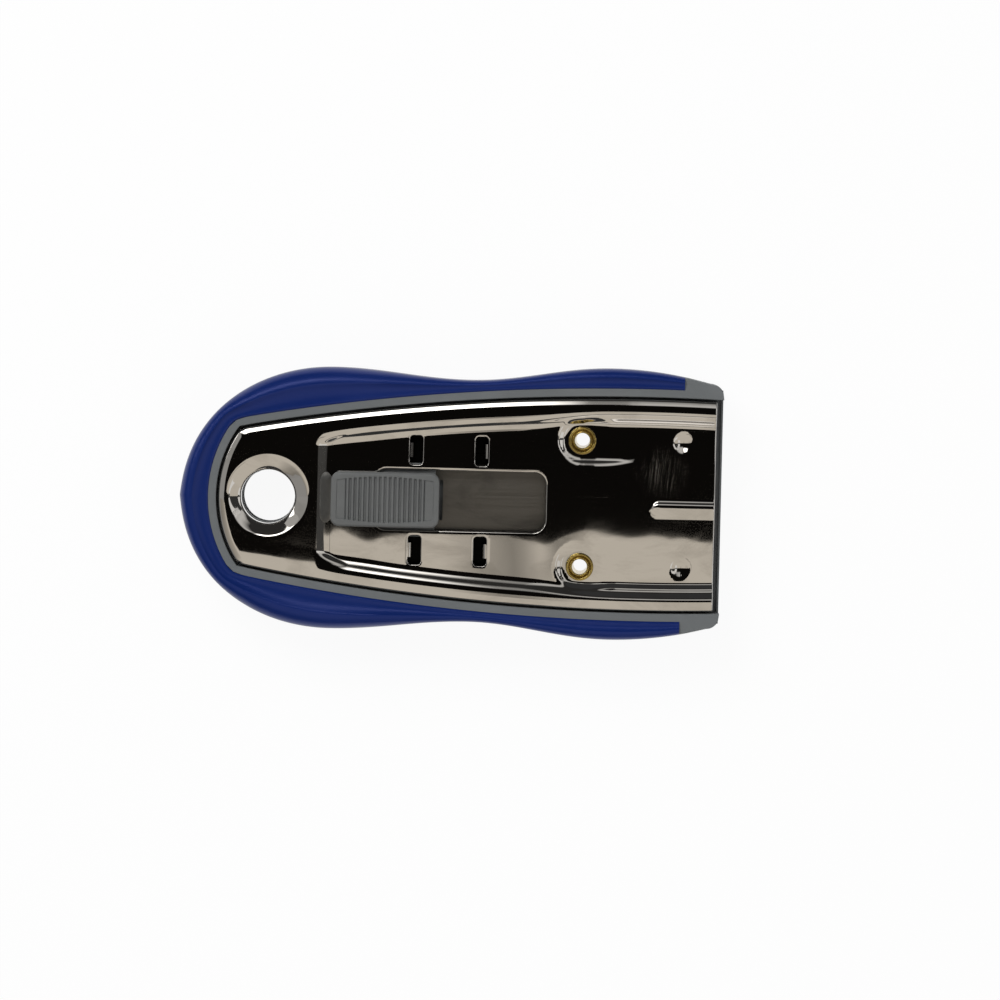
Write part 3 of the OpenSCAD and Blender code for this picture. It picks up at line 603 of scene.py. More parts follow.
@dataclass
class SteelHousing:
    """The plated pressing with its collar, window, guide slots, pockets, bead and dimples.

    slope_in and slope_w are the inset and the width of the slope into the recess, with the
    left side's value first, and tight_in and tight_w the same in front. inner_in and level_in
    are an inset and a way: there the step and the fall change to their inner values, and the
    sheet's unevenness begins. window ends with its corners' radius, and camber_bells holds
    (station, width, height) of each bell.
    """

    finish: "Finish"
    roll: float = 0.28
    bevel: tuple[float, float] = (15.5, 19.0)
    bevel_in: float = 1.08
    bevel_end: float = 1.35
    slope_in: tuple[float, float] = (3.0, 1.85)
    slope_w: tuple[float, float] = (2.75, 3.4)
    tight_in: tuple[float, float] = (2.45, 1.85)
    tight_w: tuple[float, float] = (1.9, 2.2)
    tight_x: tuple[float, float] = (64.0, 82.0)
    recess_x: float = 26.0
    recess_back: float = 0.4
    recess_ramp: float = 1.3
    recess_step: float = 0.12
    fall_l: tuple[float, float] = (6.4, 3.4)
    inner_in: tuple[float, float] = (3.5, 1.9)
    level_in: tuple[float, float] = (2.2, 3.6)
    zone_in: tuple[float, float] = (3.9, 5.3)
    pocket_r: float = 5.0
    pocket_ramp: float = 1.9
    pocket_close: float = 3.0
    pocket_shift: tuple[float, float, float] = (0.3, 1.0, 6.0)
    tongue_start: float = 2.0
    tongue_end: float = 90.0
    tongue_power: float = 1.3
    bead_x: float = 91.1
    bead_y: float = -0.7
    bead_half_w: float = 1.62
    bead_ramp: tuple[float, float] = (0.9, 1.6)
    bead_h: float = 0.35
    dimple_x: float = 95.4
    dimple_y: float = 11.8
    dimple_r: float = 2.0
    dimple_d: float = 0.5
    sink_r: float = 7.7
    sink_d: float = 1.13
    sink_edge: float = 0.45
    sink_edge_r: float = 2.2
    throat_r: float = 0.35
    collar_r: float = 5.12
    collar_end: float = 6.85
    window: tuple[float, float, float, float] = (37.0, 69.6, 5.7, 2.35)
    slot_x: tuple[float, float] = (44.824, 57.277)
    slot_y: float = 9.5
    slot_half: tuple[float, float] = (1.225, 2.75)
    slot_r: float = 0.6
    slot_lip: float = 0.8
    eyelet_cut: float = 2.1
    tab_half_w: float = 1.35
    tab_end: float = 10.6
    tab_r: float = 0.35
    tab_root: float = 0.5
    tab_gap: float = 0.12
    tab_sink: float = 0.02
    lip: float = 0.34
    front_roll: float = 0.22
    camber_y: float = 14.5
    corner_soft: float = 0.3
    steepest: float = 86.5
    edge_samples: int = 521
    camber_base: tuple[float, float, float] = (-0.00048, 0.00118, 4.0)
    camber_bells: tuple[tuple[float, float, float], ...] = (
        (77.5, 3.4, 0.00068), (70.6, 2.6, -0.0005), (89.7, 2.4, 0.00032),
        (83.5, 2.0, -0.00012), (36.5, 3.4, -0.00055), (30.2, 2.4, 0.0003))

    @property
    def sink_cut(self) -> float:
        """Radius that the plate is cut at for the countersink and its rounded edge."""
        return self.sink_r + self.sink_edge

    def height(self, x: np.ndarray, y: np.ndarray) -> np.ndarray:
        """Level of the steel's upper face, without the roll of its outer edge.

        The crest is drawn down into the recess across a half-cosine slope beside the edge,
        which is steeper in front, and across a shallow step behind the button, past which
        the floor goes on falling. The front zone lies lower still, in two lanes that start
        at the eyelets' round pockets, and the tongue between them slopes down to it. The bead
        is a half cosine over the way from its middle line, a dimple is 1 less the square of
        the way over its radius, to the power 1.5, and the front edge is a quarter circle.

        Args:
            x: Stations.
            y: Distances from the middle line.

        Returns:
            The level of each point.
        """
        side = LAYOUT.side_w(x) - np.abs(y)
        tight = smooth((x - self.tight_x[0]) / (self.tight_x[1] - self.tight_x[0]))
        start, front_start = np.where(y > 0, *self.slope_in), np.where(y > 0, *self.tight_in)
        width, front_width = np.where(y > 0, *self.slope_w), np.where(y > 0, *self.tight_w)
        start = start + (front_start - start) * tight
        width = width + (front_width - width) * tight
        rail = swing((side - start) / width)
        inner = smooth((side - self.inner_in[0]) / self.inner_in[1])
        step = self.recess_x - self.recess_back * inner
        behind = swing((x - step) / self.recess_ramp)
        further = swing((x - step) / (self.fall_l[0] + (self.fall_l[1] - self.fall_l[0]) * inner))
        share = self.recess_step * behind + (1.0 - self.recess_step) * further
        z = LAYOUT.crest_z - (LAYOUT.crest_z - LAYOUT.plateau_z) * rail * share
        z = z - (LAYOUT.plateau_z - LAYOUT.front_z) * self.zone(x, y, side)
        run = np.hypot(np.maximum(self.bead_x - x, 0.0), y - self.bead_y)
        z = z + self.bead_h * swing((self.bead_half_w - run)
                                    / np.where(y > self.bead_y, *self.bead_ramp))
        spot = np.hypot(x - self.dimple_x, np.abs(y) - self.dimple_y) / self.dimple_r
        z = z - self.dimple_d * np.clip(1.0 - spot**2, 0.0, None) ** 1.5
        ahead = np.clip(self.front_roll - (LAYOUT.shell_x - x), 0.0, self.front_roll)
        z = z - (self.front_roll - np.sqrt(self.front_roll**2 - ahead**2 + 1e-9))
        sag = self.camber(x) * (y**2 - self.camber_y**2) / 2
        level = smooth((side - self.level_in[0]) / self.level_in[1])
        return z + (self.waves(x, y) - sag) * level

    def zone(self, x: np.ndarray, y: np.ndarray, side: np.ndarray) -> np.ndarray:
        """Share of the front zone's depth at a point, with its inset from the side.

        Args:
            x: Stations.
            y: Distances from the middle line.
            side: Way in from the side.

        Returns:
            The share, from 0 to 1.
        """
        across = np.abs(y)
        behind = np.clip(LAYOUT.eyelet_x - x, 0.0, None)
        past = smooth((x - LAYOUT.eyelet_x) / self.pocket_close)
        offset = across - LAYOUT.eyelet_y
        offset = np.where(offset > 0, offset * (1.0 - past), offset)
        lane = swing((self.pocket_r - np.hypot(behind, offset)) / self.pocket_ramp)
        first, last = self.zone_in
        shift, wait, fade = self.pocket_shift
        shift = shift * (1.0 - smooth((x - LAYOUT.eyelet_x - wait) / fade))
        lane = lane * swing((side + shift - first) / (last - first))
        start = LAYOUT.eyelet_x + self.tongue_start
        tongue = np.clip((x - start) / (self.tongue_end - start), 0.0, 1.0) ** self.tongue_power
        return np.maximum(lane, swing(tongue) * (across < LAYOUT.eyelet_y))

    def camber(self, x: np.ndarray) -> np.ndarray:
        """Curvature across the sheet, per millimetre.

        It eases from one base to another over the recess's start, and bells stand on that.

        Args:
            x: Stations.

        Returns:
            The curvature at each of them.
        """
        first, gain, way = self.camber_base
        base = first + gain * smooth((x - self.recess_x) / way)
        return base + sum(h * np.exp(-((x - c) / w) ** 2) for c, w, h in self.camber_bells)

    @staticmethod
    def waves(x: np.ndarray, y: np.ndarray) -> np.ndarray:
        """Slight unevenness of the pressed sheet: a sum of three long waves."""
        return (0.0030 * np.sin(x / 2.9 + 0.6) * np.cos(y / 5.0 + 0.4)
                + 0.0022 * np.sin(x / 1.9 + y / 3.5 + 2.0)
                + 0.0016 * np.cos(x / 4.7 - y / 2.2))

    def inset(self, x: np.ndarray, y: np.ndarray) -> np.ndarray:
        """Way in from the outline: the lesser of those from the side's and the rear's circle.

        Args:
            x: Stations.
            y: Distances from the middle line.

        Returns:
            The way in of each point.
        """
        side = LAYOUT.side_w(x) - np.abs(y)
        rear = LAYOUT.rear_r - np.hypot(x - LAYOUT.rear_c, y)
        rear = np.where(x < LAYOUT.rear_c, rear, LAYOUT.rear_r)
        return np.clip(soft_min(side, rear, self.corner_soft), 0.0, None)

    def edge_drop(self, inset: np.ndarray) -> tuple[np.ndarray, np.ndarray]:
        """Drop of the outer edge, and its tilt in radians.

        From bevel_end to bevel_in the tilt grows to the bevel's first angle, then evenly to
        its second at `roll`, and from there the section is a circle that ends upright. The
        drop is the sum of the tilt's tangent times the way, taken inwards to outwards.

        Args:
            inset: Way in from the outline.

        Returns:
            The drop and the tilt.
        """
        first, second = np.radians(self.bevel)
        table = np.linspace(0.0, self.bevel_end, self.edge_samples)
        tilt = first * smooth((self.bevel_end - table) / (self.bevel_end - self.bevel_in))
        ahead = np.clip((self.bevel_in - table) / (self.bevel_in - self.roll), 0.0, 1.0)
        tilt = tilt + (second - first) * ahead
        low = np.sin(second)
        round_part = low + (1.0 - low) * np.clip(1.0 - table / self.roll, 0.0, 1.0)
        tilt = np.where(table < self.roll, np.arcsin(round_part), tilt)
        step = table[1] - table[0]
        rise = np.tan(np.minimum(tilt, math.radians(self.steepest)))
        parts = 0.5 * (rise[1:] + rise[:-1]) * step
        fall = np.concatenate([np.cumsum(parts[::-1])[::-1], [0.0]])
        return np.interp(inset, table, fall), np.interp(inset, table, tilt)

    def holes(self) -> list[Hole]:
        """The hang hole, window, slots and eyelet holes, each cut at its lip's outer edge.

        Returns:
            The holes.
        """
        sheet = LAYOUT.sheet
        wall = self.lip_profile(self.lip)
        x0, x1, half_w, r = self.window
        found = [
            Hole(circle_gap(LAYOUT.hang_x, 0.0, self.sink_cut), self.collar_profile()),
            Hole(rect_gap((x0 + x1) / 2, 0.0, (x1 - x0) / 2 + self.lip, half_w + self.lip,
                          r + self.lip), wall)]
        small = self.lip * self.slot_lip
        for side in (-1.0, 1.0):
            found += [
                Hole(rect_gap(x, side * self.slot_y, self.slot_half[0] + small,
                              self.slot_half[1] + small, self.slot_r + small),
                     self.lip_profile(small)) for x in self.slot_x]
            cut = circle_gap(LAYOUT.eyelet_x, side * LAYOUT.eyelet_y, self.eyelet_cut)
            found.append(Hole(cut, ((0.0, 0.1), (0.15, 0.2), (0.15, sheet - 0.05))))
        return found

    @staticmethod
    def lip_profile(lip: float) -> tuple[tuple[float, float], ...]:
        """Rounded wall of a punched hole, as wide as its lip and as deep as the sheet.

        Args:
            lip: Its width.

        Returns:
            Pairs for Hole.profile.
        """
        turn = np.linspace(0.0, 0.5 * math.pi, 6)[1:]
        bend = [(lip * math.sin(a), 0.75 * lip * (1.0 - math.cos(a))) for a in turn]
        return tuple(bend + [(lip, LAYOUT.sheet - 0.08), (lip - 0.08, LAYOUT.sheet)])

    def collar_profile(self) -> tuple[tuple[float, float], ...]:
        """Countersink and drawn collar of the hang hole, round the tube's end and up again.

        Returns:
            Pairs for Hole.profile.
        """
        slant = math.atan2(self.sink_d, self.sink_r - self.collar_r)
        turn = np.linspace(0.0, slant, 6)[1:]
        top = self.sink_edge_r
        rounded = [(top * math.sin(a), top * (1.0 - math.cos(a))) for a in turn]
        way, drop = rounded[-1]
        foot = self.sink_cut - self.collar_r - self.throat_r
        cone = [(way + (foot - way) * t, drop + (foot - way) * t * math.tan(slant))
                for t in (0.33, 0.66, 1.0)]
        way, drop = cone[-1]
        fillet = np.linspace(slant, 0.5 * math.pi, 6)[1:]
        sine, cosine = math.sin(slant), math.cos(slant)
        r = self.throat_r / (1.0 - sine)
        bend = [(way + r * (math.sin(a) - sine), drop + r * (cosine - math.cos(a)))
                for a in fillet]
        end = LAYOUT.crest_z - self.collar_end
        outer = self.sink_cut - self.collar_r - LAYOUT.sheet
        return tuple(rounded + cone + bend + [
            (bend[-1][0], end - 0.1), (bend[-1][0] - 0.1, end), (outer, end),
            (outer, bend[-1][1] + 0.6)])

    def weave(self) -> Weave:
        """The grid's lines: dense in the edge's roll and the slope beside it.

        Returns:
            The lines.
        """
        bend = np.linspace(self.roll, self.bevel_end, 8)[1:]
        slope = np.linspace(self.bevel_end, 5.6, 23)[1:]
        edge = arc_steps(self.roll, 9) + tuple(bend) + tuple(slope)
        ahead = tuple(self.front_roll * t for t in (1.0, 0.6, 0.3, 0.1, 0.0))
        lines = (self.window[2] + self.lip) / 18 * np.arange(20)
        return Weave(edge=edge, middle=tuple(lines), inner=14, step=0.34, front=LAYOUT.shell_x,
                     grow=0.0, front_edge=ahead)

    def build(self) -> None:
        """Works the pressing out as one closed sheet and hangs it on the handle."""
        weave = self.weave()
        x, y = weave.lines()
        plate = Plate(x, y, self.holes())
        inset = self.inset(plate.x, plate.y)
        drop, tilt = self.edge_drop(inset)
        z = self.height(plate.x, plate.y) - drop
        normal = self.normals(plate.x, plate.y, inset, tilt)
        wx, wy = weave.rounded(plate.x, plate.y, self.corner_soft)
        top = np.stack([wx, wy, z], axis=-1).reshape(-1, 3)
        low = top - LAYOUT.sheet * normal.reshape(-1, 3)
        surface = Surface()
        size = len(top)
        surface.add(top, plate.tris)
        surface.add(low, plate.tris[:, ::-1])
        first, last = np.arange(size), np.arange(size) + size
        self.walls(surface, plate, top, low, first, last)
        for index, station in enumerate(self.slot_x):
            for side in (-1.0, 1.0):
                self.tab(surface, station, side, index == 1)
        surface.piece("steel_housing", Body.HANDLE, self.finish.material(),
                      ["top_shell"])

    def normals(self, x: np.ndarray, y: np.ndarray, inset: np.ndarray,
                tilt: np.ndarray) -> np.ndarray:
        """Directions out of the upper face, lying flat at the outer edge's foot.

        Args:
            x: Stations.
            y: Distances from the middle line.
            inset: Way in from the outline.
            tilt: The edge's tilt there.

        Returns:
            One unit vector for each point.
        """
        gx, gy = slope_of(self.height, x, y)
        flat = np.stack([-gx, -gy, np.ones_like(gx)], axis=-1)
        flat /= np.linalg.norm(flat, axis=-1, keepdims=True)
        ex, ey = slope_of(self.inset, x, y)
        length = np.maximum(np.hypot(ex, ey), 1e-6)
        rolled = np.stack([-ex / length * np.sin(tilt), -ey / length * np.sin(tilt),
                           np.cos(tilt)], axis=-1)
        edge_y = np.sign(y) * (np.abs(y) > 1.0)
        at_foot = (inset < 1e-6) & (x > LAYOUT.rear_l)
        rolled[at_foot] = np.stack([np.zeros_like(y), edge_y, np.zeros_like(y)], axis=-1)[at_foot]
        return np.where((inset < self.bevel_end)[..., None], rolled, flat)

    def walls(self, surface: Surface, plate: Plate, top: np.ndarray, low: np.ndarray,
              first: np.ndarray, last: np.ndarray) -> None:
        """Adds the skirt, the front edge and the wall of each hole.

        A rim edge goes to the hole whose outline is nearest. Each ring of that hole's wall is
        the upper face, moved in along the slope of the distance to the outline and down.

        Args:
            surface: Takes the points and the faces.
            plate: The cut plate.
            top: The upper face's points.
            low: The lower face's points.
            first: Index in the surface of each upper point.
            last: The same for the lower points.
        """
        n, m = plate.shape
        edges = plate.rim_edges()
        row, column = edges // m, edges % m
        front = (row == n - 1).all(axis=1)
        skirt = ((column == 0).all(axis=1) | (column == m - 1).all(axis=1)
                 | (row == 0).all(axis=1))
        foot = top.copy()
        foot[:, 2] = LAYOUT.base_z
        inner = low.copy()
        inner[:, 2] = LAYOUT.base_z
        rings = [first, *strip(surface, edges[skirt], [foot, inner], first, last), last]
        strip(surface, edges[front], [], first, last)
        for corner, order in (((n - 1) * m, 1), (n * m - 1, -1)):
            surface.faces.append(np.array([[ring[corner] for ring in rings[::order]]]))
        others = edges[~front & ~skirt]
        px, py = plate.x.ravel(), plate.y.ravel()
        gaps = np.abs([h.gap(px[others[:, 0]], py[others[:, 0]]) for h in plate.holes])
        owner = gaps.argmin(axis=0)
        for number, hole in enumerate(plate.holes):
            mine = others[owner == number]
            gx, gy = slope_of(hole.gap, px, py, 1e-5)
            rings = []
            for way, depth in hole.profile:
                ring = top.copy()
                ring[:, 0] -= gx * way
                ring[:, 1] -= gy * way
                ring[:, 2] -= depth
                rings.append(ring)
            strip(surface, mine, rings, first, last)

    def tab(self, surface: Surface, station: float, side: float, ahead: bool) -> None:
        """Adds the tab bent down from a slot's edge: a strip swept along a quarter circle.

        Args:
            surface: Takes the strip.
            station: The slot's centre.
            side: 1 on the left of the tool and -1 on the right.
            ahead: True if the tab hangs from the slot's front edge.
        """
        sheet, r = LAYOUT.sheet, self.tab_r
        turn = np.linspace(0.0, 0.5 * math.pi, 7)
        start = -self.slot_half[0] - self.tab_root
        bend = -self.slot_half[0] - self.tab_gap
        over_x = np.concatenate([[start], bend + (r + sheet) * np.sin(turn)])
        over_z = np.concatenate([[0.0], (r + sheet) * (np.cos(turn) - 1.0)]) - self.tab_sink
        under_x = np.concatenate([[start], bend + r * np.sin(turn)])
        under_z = np.concatenate([[-sheet], r * np.cos(turn) - (r + sheet)])
        drop = LAYOUT.plateau_z - self.tab_end
        line_x = np.concatenate([over_x, [over_x[-1]], [under_x[-1]], under_x[::-1]])
        line_z = np.concatenate([over_z, [-drop], [-drop], under_z[::-1]])
        line_x = -line_x if ahead else line_x
        across = np.array([-1.0, 1.0]) * self.tab_half_w + side * self.slot_y
        rows = [np.stack([station + line_x, np.full_like(line_x, v), LAYOUT.plateau_z + line_z],
                         axis=-1) for v in across]
        grid = np.stack(rows if ahead else rows[::-1])
        surface.grid(grid, wrap_v=True, cap=True)


@dataclass
class GripSleeve:
    """The blue rubber round the handle, as sections carried along its outline."""

    finish: "Finish"
    edge_z: float = 14.3
    edge_line: tuple[tuple[float, float], ...] = (
        (0.02, 0.26), (0.06, 0.205), (0.13, 0.155), (0.21, 0.105), (0.29, 0.058), (0.36, 0.022),
        (0.45, 0.004))
    shoulder_h: float = 3.2
    shoulder_least: float = 0.45
    tuck_z: float = 6.0
    ridge_full_w: float = 6.0
    ridge_share: float = 0.56
    ridge_power: float = 2.2
    tuck_share: float = 0.4
    land_dip: float = 0.12
    tip: float = 0.5
    tip_angle: float = 9.0
    side_n: int = 70
    rear_n: int = 84
    rear_soft: float = 0.6

    def path(self) -> tuple[np.ndarray, np.ndarray]:
        """Points along the rubber's inner edge, and the points of the outline beside them.

        Beside the housing the stations are even, and round the rear the points lie on rays
        from one centre. The outer line there is an ellipse that ends in a faint point.

        Returns:
            The inner points and the outer points, from side to side.
        """
        x = np.linspace(LAYOUT.sleeve_x, LAYOUT.rear_l, self.side_n)
        inner = np.stack([x, LAYOUT.side_w(x, LAYOUT.border)], axis=-1)
        outer = np.stack([x, LAYOUT.grip_w(x)], axis=-1)
        angle = np.radians(np.linspace(90.0, 0.0, self.rear_n + 1)[1:])
        way = LAYOUT.fan(angle, LAYOUT.border, self.rear_soft)
        length = LAYOUT.rear_l - self.tip
        power = LAYOUT.rear_full
        reach = ((np.cos(angle) / length) ** power
                 + (np.sin(angle) / LAYOUT.rear_half_w) ** power) ** (-1.0 / power)
        reach = reach + self.tip * np.exp(-angle / math.radians(self.tip_angle))
        ray = np.stack([-np.cos(angle), np.sin(angle)], axis=-1)
        centre = np.array([LAYOUT.rear_l, 0.0])
        inner = np.vstack([inner, centre + way[:, None] * ray])
        outer = np.vstack([outer, centre + reach[:, None] * ray])
        flip = np.array([1.0, -1.0])
        return (np.vstack([inner, inner[-2::-1] * flip]),
                np.vstack([outer, outer[-2::-1] * flip]))

    def section(self, width: np.ndarray) -> tuple[np.ndarray, np.ndarray]:
        """Ways out from the inner edge and levels, for each width.

        The line climbs the inner wall, turns over a narrow bevel, crosses a land that dips a
        little and climbs to the ridge, rounds a quarter ellipse to the upright side and
        another one under the tool.

        Args:
            width: The rubber's width at each place on the path.

        Returns:
            The ways out and the levels, one row for each width.
        """
        w = width[:, None]
        rise = (LAYOUT.grip_h - self.edge_z) * smooth(w / self.ridge_full_w)
        ridge = self.edge_z + rise
        shoulder = self.shoulder_h * np.clip(w / self.ridge_full_w, self.shoulder_least, 1.0)
        line = np.array(self.edge_line)
        wall_z = np.linspace(0.0, self.edge_z - line[0, 1] - 0.1, 5)[None, :]
        wall = np.zeros_like(wall_z) * w
        lip = line[None, :, 0] + 0.0 * w
        lip_z = self.edge_z - line[None, :, 1] + 0.0 * w
        t = np.linspace(0.0, 1.0, 15)[None, 1:]
        crown = self.ridge_share * w
        land = line[-1, 0] + (crown - line[-1, 0]) * t
        dip = self.land_dip * np.sin(np.pi * t) * smooth(w / self.ridge_full_w)
        land_z = self.edge_z + rise * t**self.ridge_power - dip
        turn = np.linspace(0.0, 0.5 * math.pi, 19)[None, 1:]
        bulge = crown + (w - crown) * np.sin(turn)
        bulge_z = ridge - shoulder * (1.0 - np.cos(turn))
        side_z = bulge_z[:, -1:] + (self.tuck_z - bulge_z[:, -1:]) * np.array([[0.33, 0.66, 1.0]])
        tuck = w * (1.0 - self.tuck_share * (1.0 - np.cos(turn)))
        tuck_z = self.tuck_z * (1.0 - np.sin(turn)) + 0.0 * w
        side = np.repeat(w, side_z.shape[1], axis=1)
        out = np.concatenate([wall, lip, land, bulge, side, tuck], axis=1)
        level = np.concatenate([wall_z + 0.0 * w, lip_z, land_z, bulge_z, side_z, tuck_z], axis=1)
        return out, level

    def build(self) -> None:
        """Sweeps the section along the path and hangs the rubber on the handle."""
        inner, outer = self.path()
        width = np.linalg.norm(outer - inner, axis=1)
        out, level = self.section(width)
        share = (out / width[:, None])[..., None]
        plan = inner[:, None, :] + (outer - inner)[:, None, :] * share
        grid = np.concatenate([plan, level[..., None]], axis=-1)
        surface = Surface()
        surface.grid(grid[::-1], wrap_v=True, cap=True)
        surface.piece("grip_rubber_sleeve", Body.HANDLE, self.finish.material(),
                      ["grip_sleeve"])


@dataclass
class RigidFrame:
    """The grey tub: its rim round the steel, pocket, lip and bare front corners."""

    finish: "Finish"
    rim_r: float = 0.22
    lip_x: float = 102.65
    eyelet_hole_r: float = 1.9
    corner_n: int = 12
    cover_x: float = 97.1
    under_z: float = 6.7
    rear_soft: float = 0.6
    squeeze_l: float = 1.5
    corner_lap: float = 0.1
    corner_drop: float = 0.003

    def edge_profile(self) -> tuple[np.ndarray, np.ndarray]:
        """Insets and levels across the rim, from its outer foot to the pocket's floor.

        Returns:
            The insets and the levels.
        """
        turn = np.linspace(0.0, 0.5 * math.pi, 5)
        r, width, top = self.rim_r, LAYOUT.rim_w, LAYOUT.rim_z
        bend = turn[1:]
        inset = np.concatenate([[0.0, 0.0, width - r], width - r + r * np.sin(bend), [width]])
        level = np.concatenate([[LAYOUT.cover_z, top, top], top - r + r * np.cos(bend),
                                [LAYOUT.floor_z]])
        return inset, level

    def build(self) -> None:
        """Works the tub out as one closed solid and adds its front corners."""
        inset, level = self.edge_profile()
        lip_l = LAYOUT.length - self.lip_x
        weave = Weave(edge=tuple(inset), middle=tuple(np.linspace(0.0, 6.0, 7)), inner=10,
                      step=0.8, front=LAYOUT.length, grow=LAYOUT.border,
                      front_edge=(lip_l, lip_l, 0.0, 0.0))
        x, y = weave.lines()
        n, m = x.shape
        count = len(inset)
        along = np.full(n, LAYOUT.floor_z)
        along[:count] = level
        along[-3:-1] = LAYOUT.base_z
        across = np.full(m, LAYOUT.floor_z)
        across[:count] = level
        across[-count:] = level[::-1]
        z = np.maximum(along[:, None], across[None, :])
        z[[0, -1], :] = LAYOUT.cover_z
        z[:, [0, -1]] = LAYOUT.cover_z
        holes = [Hole(circle_gap(LAYOUT.hang_x, 0.0, LAYOUT.hang_r), ())]
        holes += [Hole(circle_gap(LAYOUT.eyelet_x, s * LAYOUT.eyelet_y, self.eyelet_hole_r), ())
                  for s in (-1.0, 1.0)]
        plate = Plate(x, y, holes)
        wx, wy = weave.rounded(plate.x, plate.y, self.rear_soft)
        wx = self.front_round(wx, wy)
        top = np.stack([wx, wy, z], axis=-1).reshape(-1, 3)
        deep = np.full((n, m), LAYOUT.cover_z)
        deep[count + 2:-5, count + 2:-count - 2] = self.under_z
        low = top.copy()
        low[:, 2] = deep.ravel()
        surface = Surface()
        surface.add(top, plate.tris)
        surface.add(low, plate.tris[:, ::-1])
        edges = plate.rim_edges()
        row, column = edges // m, edges % m
        rim = ((row == 0) | (row == n - 1) | (column == 0) | (column == m - 1)).all(axis=1)
        size = len(top)
        strip(surface, edges[~rim], [], np.arange(size), np.arange(size) + size)
        for side in (1.0, -1.0):
            self.corner(surface, side)
        surface.piece("rigid_frame", Body.HANDLE, self.finish.material(),
                      ["handle_frame"], merge=0.0005)

    def front_round(self, x: np.ndarray, y: np.ndarray) -> np.ndarray:
        """Stations with the front end squeezed back behind the round front corners.

        At each distance from the middle line the corner's circle limits the station, and the
        last part of the tub shrinks evenly to end there.

        Args:
            x: Stations.
            y: Distances from the middle line.

        Returns:
            The squeezed stations.
        """
        r = LAYOUT.corner_r
        start = LAYOUT.length - r
        out = np.clip(np.abs(y) - (LAYOUT.grip_w(np.array(start)) - r), 0.0, r)
        limit = start + np.sqrt(r**2 - out**2)
        first = start - self.squeeze_l
        share = np.clip(x - first, 0.0, None) / (LAYOUT.length - first)
        return np.where(x > first, first + share * (limit - first), x)

    def corner(self, surface: Surface, side: float) -> None:
        """Adds one bare front corner: the rubber's section cut off level with the rim.

        The corner's round shortens the width by r less the root of r squared less the square
        of the way past the round's start.

        Args:
            surface: Takes the corner.
            side: 1 on the left of the tool and -1 on the right.
        """
        sleeve = GripSleeve(self.finish)
        start, r = LAYOUT.length - LAYOUT.corner_r, LAYOUT.corner_r
        begin = np.array(start)
        slack = LAYOUT.side_w(begin, LAYOUT.border) - (LAYOUT.grip_w(begin) - r)
        turn = np.linspace(0.0, math.acos(float(slack) / r), self.corner_n + 1)
        x = np.concatenate([[LAYOUT.sleeve_x, self.cover_x, self.cover_x + 0.02],
                            start + r * np.sin(turn)])
        width = LAYOUT.grip_w(np.minimum(x, start))
        past = np.clip(x - start, 0.0, None) / r
        width = width - r * (1.0 - np.sqrt(np.clip(1.0 - past**2, 0.0, 1.0)))
        inner = LAYOUT.side_w(x, LAYOUT.border) - self.corner_lap
        out, level = sleeve.section(width - inner)
        foot = np.where(x > self.cover_x, LAYOUT.cover_z, 0.0)[:, None]
        level = np.clip(level, foot, LAYOUT.rim_z - self.corner_drop)
        rows = np.stack([np.repeat(x[:, None], out.shape[1], axis=1),
                         side * (inner[:, None] + out), level], axis=-1)
        surface.grid(rows[::-1] if side > 0 else rows, wrap_v=True, cap=True)


